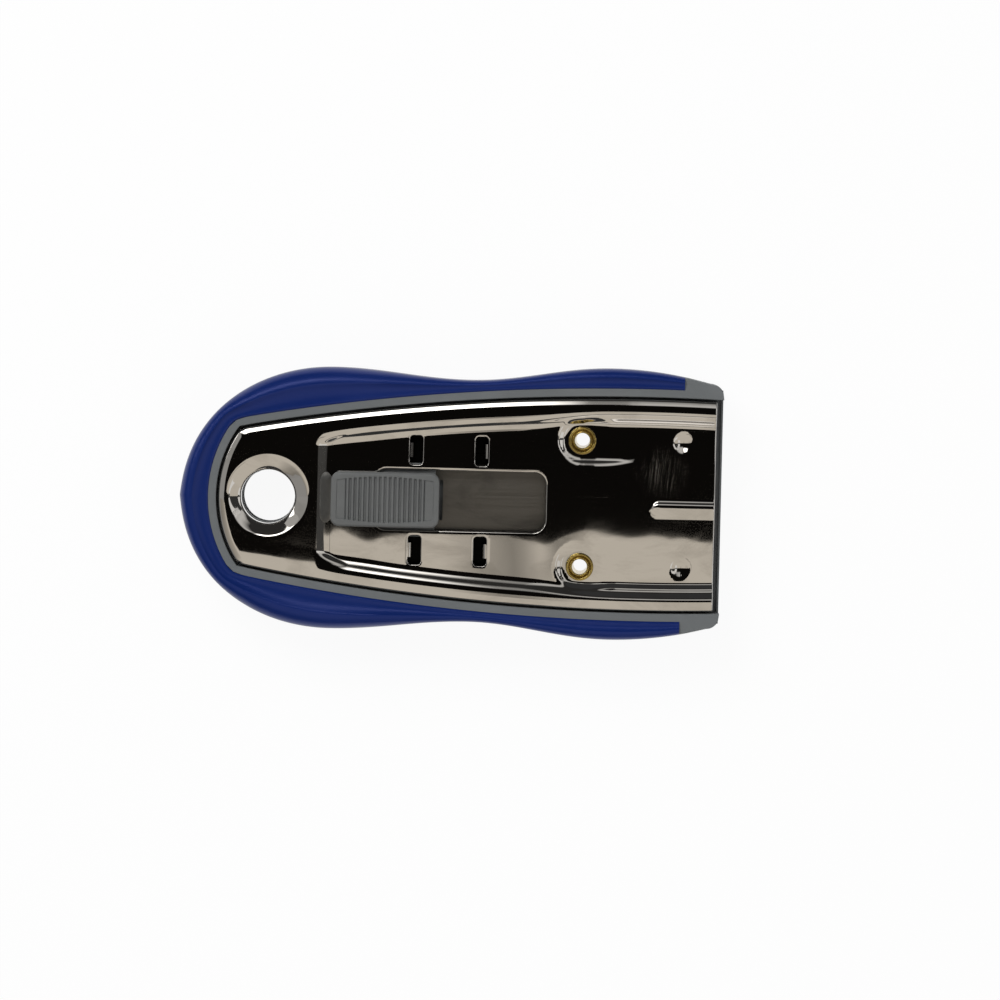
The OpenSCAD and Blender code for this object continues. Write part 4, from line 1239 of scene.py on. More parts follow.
@dataclass
class ThumbButton:
    """The grey slider: a crowned cap with a ribbed panel, its neck, foot and two lugs."""

    finish: "Finish"
    rear: float = 28.8
    length: float = 20.6
    half_w: float = 5.2
    corner_r: float = 1.7
    bottom: float = 14.34
    top: float = 17.2
    round_r: float = 0.55
    crown: float = 0.25
    draft: float = 0.3
    panel_end: float = 1.1
    panel_mid: float = 4.3
    panel_bow: float = 0.65
    panel_d: float = 0.22
    rib_n: int = 16
    rib_pitch: float = 0.95
    rib_d: float = 0.42
    neck: tuple[float, float, float] = (37.4, 48.6, 3.5)
    foot_half_w: float = 7.0
    foot_z: tuple[float, float] = (11.6, 12.5)
    lug_l: float = 1.5
    around: int = 560
    rings: int = 46

    def outline(self) -> tuple[np.ndarray, np.ndarray]:
        """Points round the cap and the point of its spine that each one looks back to.

        Returns:
            The points round the cap and those on its spine.
        """
        half_l, r = self.length / 2, self.corner_r
        flat_x, flat_y = half_l - r, self.half_w - r
        sides = [(2 * flat_y, (1, 0), (flat_x, -flat_y), (0, 1)),
                 (2 * flat_x, (0, 1), (flat_x, flat_y), (-1, 0)),
                 (2 * flat_y, (-1, 0), (-flat_x, flat_y), (0, -1)),
                 (2 * flat_x, (0, -1), (-flat_x, -flat_y), (1, 0))]
        total = sum(s[0] for s in sides)
        points = []
        turn = np.linspace(0.0, 0.5 * math.pi, 9)[1:-1, None]
        for length, *vectors in sides:
            out, start, along = (np.array(v) for v in vectors)
            count = max(8, int(round(self.around * length / total)))
            base = start + np.linspace(0.0, length, count)[:, None] * along + r * out
            centre = base[-1] - r * out
            points += [base, centre + r * (np.cos(turn) * out + np.sin(turn) * along)]
        ring = np.vstack(points)
        spine = np.stack([np.clip(ring[:, 0], -flat_x, flat_x), np.zeros(len(ring))], axis=-1)
        return ring, spine

    def level(self, x: np.ndarray, y: np.ndarray) -> np.ndarray:
        """Level of the cap's top: a crown, less the sunk panel, with ribs standing in it.

        Args:
            x: Distances from the cap's middle, along the tool.
            y: The same across it.

        Returns:
            The level of each point.
        """
        half_l, panel_l = self.length / 2, self.length - 2 * self.panel_end
        z = self.top - self.crown * ((x / half_l) ** 2 * 0.6 + (y / self.half_w) ** 2 * 0.4)
        share = np.clip((x + half_l - self.panel_end) / panel_l, 0.0, 1.0)
        side = self.panel_mid - self.panel_bow * (1.0 - np.sin(np.pi * share)) - np.abs(y)
        end = half_l - self.panel_end - np.abs(x)
        inside = smooth(soft_min(side, end, 0.08) / 0.22 + 0.5)
        reach = self.rib_pitch * self.rib_n / 2
        phase = 0.5 + 0.5 * np.cos(2.0 * np.pi * (x / self.rib_pitch + 0.5))
        groove = 1.0 - smooth((phase - 0.18) / 0.5)
        field_x = smooth((reach - np.abs(x)) / 0.12)
        return z - inside * (self.panel_d * (1.0 - field_x) + field_x * self.rib_d * groove)

    def build(self) -> None:
        """Works the cap out as rings drawn in to its spine and adds what hangs under it."""
        ring, spine = self.outline()
        turn = np.linspace(0.0, 0.5 * math.pi, 8)
        edge_in = self.round_r * (1.0 - np.cos(turn))
        edge_drop = self.round_r * (1.0 - np.sin(turn))
        reach = np.linalg.norm(ring - spine, axis=1)
        inset = np.concatenate([edge_in, np.linspace(self.round_r, self.half_w, self.rings)[1:]])
        drop = np.concatenate([edge_drop, np.zeros(self.rings - 1)])
        scale = 1.0 - inset / self.half_w
        plan = spine[None] + (ring - spine)[None] * scale[:, None, None]
        z = self.level(plan[..., 0], plan[..., 1]) - drop[:, None]
        middle = np.array([self.rear + self.length / 2, 0.0])
        upper = np.concatenate([plan + middle, z[..., None]], axis=-1)
        out = (ring - spine) / np.maximum(reach, 1e-6)[:, None]
        foot = ring - out * self.draft
        lower = np.stack([spine, spine + (ring - spine) * 0.94, foot]) + middle
        lower = np.concatenate([lower, np.full((3, len(ring), 1), self.bottom)], axis=-1)
        grid = np.concatenate([lower, upper])
        surface = Surface()
        surface.grid(grid.transpose(1, 0, 2)[::-1], wrap_u=True)
        x0, x1, half = self.neck
        low, high = self.foot_z
        add_block(surface, (x0, x1), (-half, half), (high - 0.1, self.bottom + 0.5), 0.2)
        add_block(surface, (x0, x1), (-self.foot_half_w, self.foot_half_w), (low, high), 0.15)
        for start in (x0, x1 - self.lug_l):
            add_block(surface, (start, start + self.lug_l), (-half, half),
                      (LAYOUT.carrier_z, low + 0.1), 0.15)
        surface.piece("thumb_slider", Body.BUTTON, self.finish.material(),
                      ["thumb_button"], merge=0.002, recalculate=True)


def add_block(surface: Surface, xs: tuple[float, float], ys: tuple[float, float],
              zs: tuple[float, float], r: float) -> None:
    """Adds a block with rounded upright edges: a superellipse of power 12 in plan.

    Args:
        surface: Takes the block.
        xs: Its first and last station.
        ys: Its limits across the tool.
        zs: Its lowest and highest level.
        r: Width of the chamfer at its top and foot.
    """
    turn = np.linspace(0.0, 2.0 * math.pi, 49)[:-1]
    half = np.array([(xs[1] - xs[0]) / 2, (ys[1] - ys[0]) / 2])
    unit = np.stack([np.cos(turn), np.sin(turn)], axis=-1)
    unit = unit / (np.abs(unit) ** 12).sum(axis=1, keepdims=True) ** (1 / 12)
    centre = np.array([sum(xs) / 2, sum(ys) / 2])
    rows = []
    for inset, z in ((r, zs[0]), (0.0, zs[0] + r), (0.0, zs[1] - r), (r, zs[1])):
        rows.append(np.concatenate([centre + unit * (half - inset), np.full((48, 1), z)], axis=1))
    surface.grid(np.stack(rows)[::-1], wrap_v=True, cap=True)


@dataclass
class Eyelet:
    """A brass eyelet: a rolled flange, a barrel and a second roll under the tool."""

    finish: "Finish"
    side: float
    name: str
    node: str
    bore: float = 1.44
    low_bore: float = 1.27
    low_shift: float = 0.28
    barrel: float = 1.8
    flange_r: float = 2.64
    roll_r: float = 0.3
    low_z: float = 0.8
    turns: int = 96
    flare: float = 0.16
    low_flare: float = 0.3
    bells: tuple[tuple[float, float, float], ...] = ((1.87, 0.085, 0.16), (1.62, 0.06, 0.03))

    def profile(self) -> np.ndarray:
        """Radius and level round the wall: up the bore, over the flange and down the barrel.

        The flange's inner part is two low bells in radius, and its outer part a half circle.
        The rolled end under the tool is the same half circle turned over.

        Returns:
            One (radius, level) row for each point.
        """
        base = LAYOUT.front_z + self.roll_r
        mid = self.flange_r - self.roll_r
        mouth = np.linspace(0.0, 0.5 * math.pi, 7)
        lip = np.stack([self.bore + self.flare * (1.0 - np.cos(mouth)),
                        base - self.flare + self.flare * np.sin(mouth)], axis=-1)
        r = np.linspace(self.bore + self.flare, mid - self.roll_r, 19)[1:-1]
        bells = sum(h * np.exp(-((r - c) / w) ** 2) for c, w, h in self.bells)
        inner = np.stack([r, base - 0.03 + bells], axis=-1)
        turn = np.linspace(math.pi, -0.5 * math.pi, 21)
        half = self.roll_r * np.stack([np.cos(turn), np.sin(turn)], axis=-1)
        upper = half + np.array([mid, base])
        stem = np.array([[self.barrel, LAYOUT.front_z], [self.barrel, self.low_z]])
        low_base = self.low_z - self.roll_r
        lower = half[::-1] * np.array([1.0, -1.0]) + np.array([mid, low_base])
        mouth, flare = mouth[::-1], self.low_flare
        low_lip = np.stack([self.low_bore + flare * (1.0 - np.cos(mouth)),
                            low_base + flare - flare * np.sin(mouth)], axis=-1)
        return np.vstack([lip, inner, upper, stem, lower, low_lip])

    def build(self) -> None:
        """Turns the profile about the eyelet's axis, with the bore's foot a little off it."""
        line = self.profile()
        turn = np.linspace(0.0, 2.0 * math.pi, self.turns + 1)[:-1, None]
        low = np.where((line[:, 0] < self.barrel - 0.2) & (line[:, 1] < 2.0), self.low_shift, 0.0)
        grid = np.stack([LAYOUT.eyelet_x + low[None] + line[None, :, 0] * np.cos(turn),
                         self.side * LAYOUT.eyelet_y + line[None, :, 0] * np.sin(turn),
                         np.broadcast_to(line[None, :, 1], (self.turns, len(line)))], axis=-1)
        surface = Surface()
        surface.grid(grid, wrap_u=True, wrap_v=True)
        surface.piece(self.name, Body.HANDLE, self.finish.material(), [self.node],
                      recalculate=True)


@dataclass
class PalmPad:
    """The grooved rubber pad in the back cover, as a height field with a round edge."""

    finish: "Finish"
    start: float = 27.8
    end: float = 67.8
    half_w: float = 13.0
    corner_r: float = 8.0
    thick: float = 0.8
    groove_n: int = 7
    groove_w: float = 1.4
    groove_d: float = 0.4
    plain_w: tuple[float, float] = (1.2, 1.0)
    round_r: tuple[float, float] = (0.3, 0.15)

    def build(self) -> None:
        """Works out the pad's lower face with its grooves, and its flat upper face."""
        x, y = np.meshgrid(np.linspace(self.start - 1, self.end + 1, 211),
                           np.linspace(-self.half_w - 1, self.half_w + 1, 57), indexing="ij")
        middle, half_l = (self.start + self.end) / 2, (self.end - self.start) / 2
        outline = rect_gap(middle, 0.0, half_l, self.half_w, self.corner_r)
        plate = Plate(x, y, [Hole(lambda a, b: -outline(a, b), ())])
        depth = self.depth(plate.x, plate.y, -outline(plate.x, plate.y))
        face = np.stack([plate.x, plate.y, depth], axis=-1).reshape(-1, 3)
        back = face.copy()
        back[:, 2] = self.thick
        surface = Surface()
        surface.add(back, plate.tris)
        surface.add(face, plate.tris[:, ::-1])
        size = len(face)
        strip(surface, plate.rim_edges(), [], np.arange(size), np.arange(size) + size)
        surface.piece("palm_rubber_pad", Body.HANDLE, self.finish.material(),
                      ["palm_pad"])

    def depth(self, x: np.ndarray, y: np.ndarray, inset: np.ndarray) -> np.ndarray:
        """Level of the lower face: round grooves across it, and a small round at its edge.

        Args:
            x: Stations.
            y: Distances from the middle line.
            inset: Way in from the pad's outline.

        Returns:
            The level of each point.
        """
        pitch = (self.end - self.start) / (self.groove_n + 1)
        off = np.abs((x - self.start) / pitch - np.round((x - self.start) / pitch)) * pitch
        groove = self.groove_d * (1.0 - smooth(off / (self.groove_w / 2)))
        groove = groove * smooth((inset - self.plain_w[0]) / self.plain_w[1])
        return groove + self.round_r[1] * (1.0 - smooth(inset / self.round_r[0]))


class Nodes:
    """Short hand for adding nodes to a tree and linking them."""

    def __init__(self, tree: bpy.types.NodeTree) -> None:
        """Keeps the tree that the nodes go into."""
        self.tree = tree

    def add(self, kind: str, inputs: dict[str | int, object] | None = None,
            **settings: object) -> bpy.types.Node:
        """Adds one node.

        Args:
            kind: The node's type name.
            inputs: Values or sockets for its inputs, by name or number.
            settings: Attributes to set on the node.

        Returns:
            The node.
        """
        node = self.tree.nodes.new(kind)
        for key, value in settings.items():
            setattr(node, key, value)
        self.put(node, inputs or {})
        return node

    def put(self, node: bpy.types.Node, inputs: dict[str | int, object]) -> None:
        """Sets a node's inputs, or links sockets to them.

        Args:
            node: The node.
            inputs: Values or sockets, by name or number.
        """
        for key, value in inputs.items():
            if isinstance(value, bpy.types.NodeSocket):
                self.tree.links.new(value, node.inputs[key])
            else:
                node.inputs[key].default_value = value

    def math(self, operation: str, a: object, b: object = 0.0,
             clamp: bool = False) -> bpy.types.NodeSocket:
        """Adds a Math node and returns its value.

        Args:
            operation: The node's operation.
            a: Its first value or socket.
            b: Its second.
            clamp: Holds the result between 0 and 1.

        Returns:
            The result.
        """
        return self.add("ShaderNodeMath", {0: a, 1: b}, operation=operation,
                        use_clamp=clamp).outputs[0]

    def blend(self, share: object, a: object, b: object) -> bpy.types.NodeSocket:
        """Mixes two colours by a share and returns the result."""
        node = self.add("ShaderNodeMix", {0: share, 6: a, 7: b}, data_type="RGBA")
        return node.outputs[2]

    def span(self, value: object, low: float, high: float, to_low: float,
             to_high: float) -> bpy.types.NodeSocket:
        """Maps a value from one range onto another, held at both ends.

        Args:
            value: The value or socket.
            low: Start of its range.
            high: End of its range.
            to_low: What the start becomes.
            to_high: What the end becomes.

        Returns:
            The result.
        """
        return self.add("ShaderNodeMapRange", {
            "Value": value, "From Min": low, "From Max": high,
            "To Min": to_low, "To Max": to_high}).outputs[0]


class Groups:
    """The shader node groups that several finishes share, each built once."""

    made: dict[str, bpy.types.NodeTree] = {}

    @classmethod
    def _new(cls, name: str, inputs: dict[str, float],
             outputs: Sequence[str]) -> tuple[Nodes, bpy.types.Node, bpy.types.Node]:
        """Starts a group with float inputs and outputs and a Vector input.

        Args:
            name: The group's name.
            inputs: Its inputs' default values.
            outputs: Its outputs' names.

        Returns:
            Its nodes, its input node and its output node.
        """
        tree = bpy.data.node_groups.new(name, "ShaderNodeTree")
        tree.interface.new_socket("Vector", in_out="INPUT", socket_type="NodeSocketVector")
        for key, value in inputs.items():
            made = tree.interface.new_socket(key, in_out="INPUT", socket_type="NodeSocketFloat")
            made.default_value = value
        for key in outputs:
            tree.interface.new_socket(key, in_out="OUTPUT", socket_type="NodeSocketFloat")
        nodes = Nodes(tree)
        cls.made[name] = tree
        return nodes, nodes.add("NodeGroupInput"), nodes.add("NodeGroupOutput")

    @classmethod
    def grain(cls) -> bpy.types.NodeTree:
        """Fine moulded grain: two octaves of noise, as a height and a mask of 0 to 1.

        Returns:
            The group.
        """
        if "moulded_grain" not in cls.made:
            nodes, start, end = cls._new("moulded_grain", {"Size": 900.0, "Coarse": 0.35},
                                         ["Height", "Mask"])
            fine = nodes.add("ShaderNodeTexNoise", {
                "Vector": start.outputs["Vector"], "Scale": start.outputs["Size"], "Detail": 2.0})
            wide = nodes.math("MULTIPLY", start.outputs["Size"], start.outputs["Coarse"])
            slow = nodes.add("ShaderNodeTexNoise", {
                "Vector": start.outputs["Vector"], "Scale": wide, "Detail": 1.0})
            height = nodes.math("ADD", fine.outputs[0], slow.outputs[0])
            mask = nodes.span(slow.outputs[0], 0.35, 0.65, 0.0, 1.0)
            nodes.put(end, {"Height": height, "Mask": mask})
        return cls.made["moulded_grain"]

    @classmethod
    def smears(cls) -> bpy.types.NodeTree:
        """Handling marks: soft patches of noise, stretched along the tool, from 0 to 1.

        Returns:
            The group.
        """
        if "handling_smears" not in cls.made:
            nodes, start, end = cls._new("handling_smears", {"Size": 60.0, "Amount": 0.5}, ["Mask"])
            stretch = nodes.add("ShaderNodeMapping", {
                "Vector": start.outputs["Vector"], "Scale": (0.55, 1.0, 1.0)})
            noise = nodes.add("ShaderNodeTexNoise", {
                "Vector": stretch.outputs[0], "Scale": start.outputs["Size"], "Detail": 6.0,
                "Roughness": 0.62, "Distortion": 0.6})
            mask = nodes.span(noise.outputs[0], 0.48, 0.72, 0.0, 1.0)
            nodes.put(end, {"Mask": nodes.math("MULTIPLY", mask, start.outputs["Amount"])})
        return cls.made["handling_smears"]

    @classmethod
    def scratches(cls) -> bpy.types.NodeTree:
        """Fine scratches along the Vector's first axis: noise drawn out fifty times.

        Returns:
            The group.
        """
        if "fine_scratches" not in cls.made:
            nodes, start, end = cls._new("fine_scratches", {"Size": 700.0, "Cut": 0.68},
                                         ["Mask", "Height"])
            thin = nodes.add("ShaderNodeMapping", {
                "Vector": start.outputs["Vector"], "Scale": (0.02, 1.0, 1.0)})
            noise = nodes.add("ShaderNodeTexNoise", {
                "Vector": thin.outputs[0], "Scale": start.outputs["Size"], "Detail": 3.0})
            over = nodes.math("SUBTRACT", noise.outputs[0], start.outputs["Cut"])
            mask = nodes.math("MULTIPLY", over, 12.0, clamp=True)
            nodes.put(end, {"Mask": mask, "Height": noise.outputs[0]})
        return cls.made["fine_scratches"]

    @classmethod
    def specks(cls) -> bpy.types.NodeTree:
        """Dust specks: the middle of sparse Voronoi cells, from 0 to 1.

        Returns:
            The group.
        """
        if "dust_specks" not in cls.made:
            nodes, start, end = cls._new("dust_specks", {"Size": 350.0, "Share": 0.06}, ["Mask"])
            cell = nodes.add("ShaderNodeTexVoronoi", {
                "Vector": start.outputs["Vector"], "Scale": start.outputs["Size"]})
            chosen = nodes.add("ShaderNodeSeparateColor", {"Color": cell.outputs["Color"]})
            rare = nodes.math("LESS_THAN", chosen.outputs[0], start.outputs["Share"])
            small = nodes.math("LESS_THAN", cell.outputs["Distance"], 0.1)
            nodes.put(end, {"Mask": nodes.math("MULTIPLY", rare, small)})
        return cls.made["dust_specks"]


def bare_material(name: str) -> tuple[bpy.types.Material, Nodes]:
    """Makes a material with an empty tree, and the short hand for filling it.

    Args:
        name: Its name.

    Returns:
        The material and its nodes.
    """
    made = bpy.data.materials.new(name)
    made.use_nodes = True
    made.node_tree.nodes.clear()
    return made, Nodes(made.node_tree)


Colour = tuple[float, float, float, float]
Place = tuple[float, float, float]


@dataclass(frozen=True)
class Finish:
    """Base of the finishes: a named material around one Principled shader."""

    name: str

    def material(self) -> bpy.types.Material:
        """Builds the material at its first use.

        Returns:
            The material.
        """
        found = bpy.data.materials.get(self.name)
        if found:
            return found
        made, nodes = bare_material(self.name)
        shader = nodes.add("ShaderNodeBsdfPrincipled")
        nodes.add("ShaderNodeOutputMaterial", {"Surface": shader.outputs[0]})
        self.dress(nodes, shader, nodes.add("ShaderNodeTexCoord").outputs["Object"])
        return made

    def dress(self, nodes: Nodes, shader: bpy.types.Node, place: bpy.types.NodeSocket) -> None:
        """Sets the shader up from the finish's own values."""
        raise NotImplementedError

    @staticmethod
    def group(nodes: Nodes, tree: bpy.types.NodeTree, place: bpy.types.NodeSocket,
              **values: float) -> bpy.types.Node:
        """Places a shared group with its own values."""
        return nodes.add("ShaderNodeGroup", {"Vector": place, **values}, node_tree=tree)

    @staticmethod
    def bump(nodes: Nodes, shader: bpy.types.Node, height: bpy.types.NodeSocket,
             strength: float, distance: float) -> None:
        """Feeds a height through a Bump node into the shader's normal.

        Args:
            nodes: The material's nodes.
            shader: Its shader.
            height: The height.
            strength: The bump's strength.
            distance: What a height of 1 stands for, in metres.
        """
        node = nodes.add("ShaderNodeBump", {
            "Strength": strength, "Distance": distance, "Height": height})
        nodes.put(shader, {"Normal": node.outputs[0]})


@dataclass(frozen=True)
class Rubber(Finish):
    """Soft blue rubber with a satin skin, faint mottling and a few dust specks."""

    colour: Colour = (0.0025, 0.0155, 0.112, 1.0)
    worn: Colour = (0.0045, 0.0185, 0.124, 1.0)
    dust: Colour = (0.16, 0.18, 0.32, 1.0)
    tint: Colour = (0.42, 0.46, 1.0, 1.0)
    shine: float = 0.62
    roughness: float = 0.3
    worn_more: float = 0.08
    bump_size: float = 0.00004

    def dress(self, nodes: Nodes, shader: bpy.types.Node, place: bpy.types.NodeSocket) -> None:
        """Mottles the colour and the roughness, and raises a fine grain.

        Args:
            nodes: The material's nodes.
            shader: Its shader.
            place: Object coordinates.
        """
        grain = self.group(nodes, Groups.grain(), place, Size=1500.0, Coarse=0.12)
        smear = self.group(nodes, Groups.smears(), place, Size=45.0, Amount=1.0)
        speck = self.group(nodes, Groups.specks(), place, Size=420.0, Share=0.012)
        worn = smear.outputs["Mask"]
        colour = nodes.blend(worn, self.colour, self.worn)
        nodes.put(shader, {
            "Base Color": nodes.blend(speck.outputs["Mask"], colour, self.dust),
            "Roughness": nodes.span(worn, 0.0, 1.0, self.roughness,
                                    self.roughness + self.worn_more),
            "Specular IOR Level": self.shine, "Specular Tint": self.tint})
        self.bump(nodes, shader, grain.outputs["Height"], 0.35, self.bump_size)


@dataclass(frozen=True)
class Plastic(Finish):
    """Matte moulded plastic with a fine grain and slight rubbing marks."""

    colour: Colour = (0.128, 0.138, 0.143, 1.0)
    rubbed: Colour = (0.148, 0.158, 0.163, 1.0)
    roughness: float = 0.46
    grain_more: float = 0.1
    grain_size: float = 2200.0
    bump_size: float = 0.00003

    def dress(self, nodes: Nodes, shader: bpy.types.Node, place: bpy.types.NodeSocket) -> None:
        """Varies colour and roughness a little and raises the mould's grain.

        Args:
            nodes: The material's nodes.
            shader: Its shader.
            place: Object coordinates.
        """
        grain = self.group(nodes, Groups.grain(), place, Size=self.grain_size, Coarse=0.2)
        smear = self.group(nodes, Groups.smears(), place, Size=120.0, Amount=1.0)
        nodes.put(shader, {
            "Base Color": nodes.blend(smear.outputs["Mask"], self.colour, self.rubbed),
            "Roughness": nodes.span(grain.outputs["Mask"], 0.0, 1.0, self.roughness,
                                    self.roughness + self.grain_more)})
        self.bump(nodes, shader, grain.outputs["Height"], 0.3, self.bump_size)


@dataclass(frozen=True)
class Plated(Finish):
    """Bright nickel plate: a mirror with smears, scratches, a worn patch and faint ripples."""

    colour: Colour = (0.70, 0.68, 0.65, 1.0)
    stained: Colour = (0.55, 0.53, 0.50, 1.0)
    roughness: float = 0.03
    smeared: float = 0.06
    scratched: float = 0.05
    worn_at: Place = (0.0401, 0.0065, 0.0127)
    worn_r: tuple[float, float] = (0.00217, 0.0062)
    worn_turn: float = -1.15
    worn_scale: Place = (4.5, 1.0, 1.0)
    worn_rough: float = 0.23

    def dress(self, nodes: Nodes, shader: bpy.types.Node, place: bpy.types.NodeSocket) -> None:
        """Feeds smears and scratches into colour and roughness, and ripples into the bump.

        Short scratches in another direction add roughness that fades with the way from the
        worn patch's middle.

        Args:
            nodes: The material's nodes.
            shader: Its shader.
            place: Object coordinates.
        """
        smear = self.group(nodes, Groups.smears(), place, Size=130.0, Amount=1.0)
        scratch = self.group(nodes, Groups.scratches(), place, Size=900.0, Cut=0.66)
        rough = nodes.span(smear.outputs["Mask"], 0.0, 1.0, self.roughness, self.smeared)
        fine = nodes.math("MULTIPLY", scratch.outputs["Mask"], self.scratched)
        rough = nodes.math("ADD", rough, fine)
        turned = nodes.add("ShaderNodeMapping", {
            "Vector": place, "Rotation": (0.0, 0.0, self.worn_turn), "Scale": self.worn_scale})
        cut = self.group(nodes, Groups.scratches(), turned.outputs[0], Size=5600.0, Cut=0.57)
        way = nodes.add("ShaderNodeVectorMath", {0: place, 1: self.worn_at}, operation="DISTANCE")
        near = nodes.span(way.outputs["Value"], *self.worn_r, self.worn_rough, 0.0)
        rough = nodes.math("ADD", rough, nodes.math("MULTIPLY", cut.outputs["Mask"], near))
        nodes.put(shader, {
            "Metallic": 1.0, "Roughness": rough,
            "Base Color": nodes.blend(smear.outputs["Mask"], self.colour, self.stained)})
        ripple = nodes.add("ShaderNodeTexNoise", {"Vector": place, "Scale": 260.0, "Detail": 1.0})
        self.bump(nodes, shader, ripple.outputs[0], 0.06, 0.00003)


@dataclass(frozen=True)
class Steel(Finish):
    """Plain rolled or ground steel: brush lines along the tool and dull patches, with painted shade
    away from the middle line where asked.
    """

    colour: Colour = (0.205, 0.197, 0.183, 1.0)
    dull: Colour = (0.095, 0.092, 0.086, 1.0)
    painted_shade: Colour = (0.006, 0.006, 0.0055, 1.0)
    roughness: float = 0.36
    # Near-black colour of the painted shade.
    line_more: float = 0.08
    line_size: float = 2600.0
    line_depth: float = 0.3
    across: bool = False
    shade_from_y: float = 0.0
    shade_edge: float = 0.0004

    def dress(self, nodes: Nodes, shader: bpy.types.Node, place: bpy.types.NodeSocket) -> None:
        """Feeds brush lines into roughness and bump, and patches into the colour.

        Past the given distance from the middle line the colour turns near black: painted shade
        standing in for the dark space under the guide slots.

        Args:
            nodes: The material's nodes.
            shader: Its shader.
            place: Object coordinates.
        """
        turned = nodes.add("ShaderNodeMapping", {
            "Vector": place, "Rotation": (0.0, 0.0, 0.5 * math.pi if self.across else 0.0)})
        lines = self.group(nodes, Groups.scratches(), turned.outputs[0], Size=self.line_size,
                           Cut=0.5).outputs["Height"]
        smear = self.group(nodes, Groups.smears(), place, Size=90.0, Amount=1.0)
        colour = nodes.blend(smear.outputs["Mask"], self.colour, self.dull)
        # Painted shade: near black beyond the given distance from the middle line, where the guide
        # slots look down on this steel.
        if self.shade_from_y:
            across = nodes.add("ShaderNodeSeparateXYZ", {"Vector": place}).outputs["Y"]
            shaded = nodes.span(nodes.math("ABSOLUTE", across), self.shade_from_y - self.shade_edge,
                             self.shade_from_y + self.shade_edge, 0.0, 1.0)
            colour = nodes.blend(shaded, colour, self.painted_shade)
        nodes.put(shader, {
            "Metallic": 1.0, "Base Color": colour,
            "Roughness": nodes.span(lines, 0.3, 0.7, self.roughness - self.line_more,
                                    self.roughness + self.line_more)})
        self.bump(nodes, shader, lines, self.line_depth, 0.00002)


@dataclass(frozen=True)
class Brass(Finish):
    """Rolled brass, bright on its crown and tarnished in patches."""

    colour: Colour = (0.56, 0.42, 0.13, 1.0)
    tarnish: Colour = (0.33, 0.235, 0.07, 1.0)
    roughness: float = 0.16
    tarnish_more: float = 0.15

    def dress(self, nodes: Nodes, shader: bpy.types.Node, place: bpy.types.NodeSocket) -> None:
        """Mixes the tarnish in by patches and makes those rougher.

        Args:
            nodes: The material's nodes.
            shader: Its shader.
            place: Object coordinates.
        """
        smear = self.group(nodes, Groups.smears(), place, Size=420.0, Amount=1.0).outputs["Mask"]
        nodes.put(shader, {
            "Metallic": 1.0, "Base Color": nodes.blend(smear, self.colour, self.tarnish),
            "Roughness": nodes.span(smear, 0.0, 1.0, self.roughness,
                                    self.roughness + self.tarnish_more)})
        grain = self.group(nodes, Groups.grain(), place, Size=3000.0, Coarse=0.3)
        self.bump(nodes, shader, grain.outputs["Height"], 0.06, 0.00002)


@dataclass(frozen=True)
class Card:
    """A flat card that only reflections see.

    xs and ys are its limits along and across the tool, and drop is how far it hangs below the
    large cards. fade gives two stations and the share that the light changes to between them.
    The light of a soft card falls to nothing at both long edges: it is 1 less the square of
    the way from the card's middle line over half its width.
    """

    name: str
    xs: tuple[float, float]
    ys: tuple[float, float]
    colour: Colour
    strength: float
    drop: float = 0.0
    fade: tuple[float, float, float] | None = None
    soft: bool = False

    def material(self) -> bpy.types.Material:
        """Makes the card's light, with its fade and its soft edges.

        Returns:
            The material.
        """
        made, nodes = bare_material(self.name)
        place = nodes.add("ShaderNodeTexCoord").outputs["Object"]
        split = nodes.add("ShaderNodeSeparateXYZ", {"Vector": place})
        power: object = self.strength
        if self.fade:
            first, last, share = self.fade
            power = nodes.span(split.outputs["X"], first, last, power, self.strength * share)
        if self.soft:
            off = nodes.math("SUBTRACT", split.outputs["Y"], sum(self.ys) / 2)
            off = nodes.math("DIVIDE", off, (self.ys[1] - self.ys[0]) / 2)
            bell = nodes.math("SUBTRACT", 1.0, nodes.math("MULTIPLY", off, off), clamp=True)
            power = nodes.math("MULTIPLY", bell, power)
        light = nodes.add("ShaderNodeEmission", {"Color": self.colour, "Strength": power})
        nodes.add("ShaderNodeOutputMaterial", {"Surface": light.outputs[0]})
        return made

    def build(self, height: float) -> None:
        """Hangs the card over the tool, hidden from all but glossy rays.

        Args:
            height: Level of the large cards.
        """
        (x0, x1), (y0, y1), z = self.xs, self.ys, height - self.drop
        mesh = bpy.data.meshes.new(self.name)
        mesh.from_pydata([(x0, y0, z), (x0, y1, z), (x1, y1, z), (x1, y0, z)], [], [(0, 1, 2, 3)])
        mesh.materials.append(self.material())
        card = place_object(self.name, mesh)
        card.visible_camera = False
        card.visible_diffuse = False
        card.visible_shadow = False
        card.visible_transmission = False


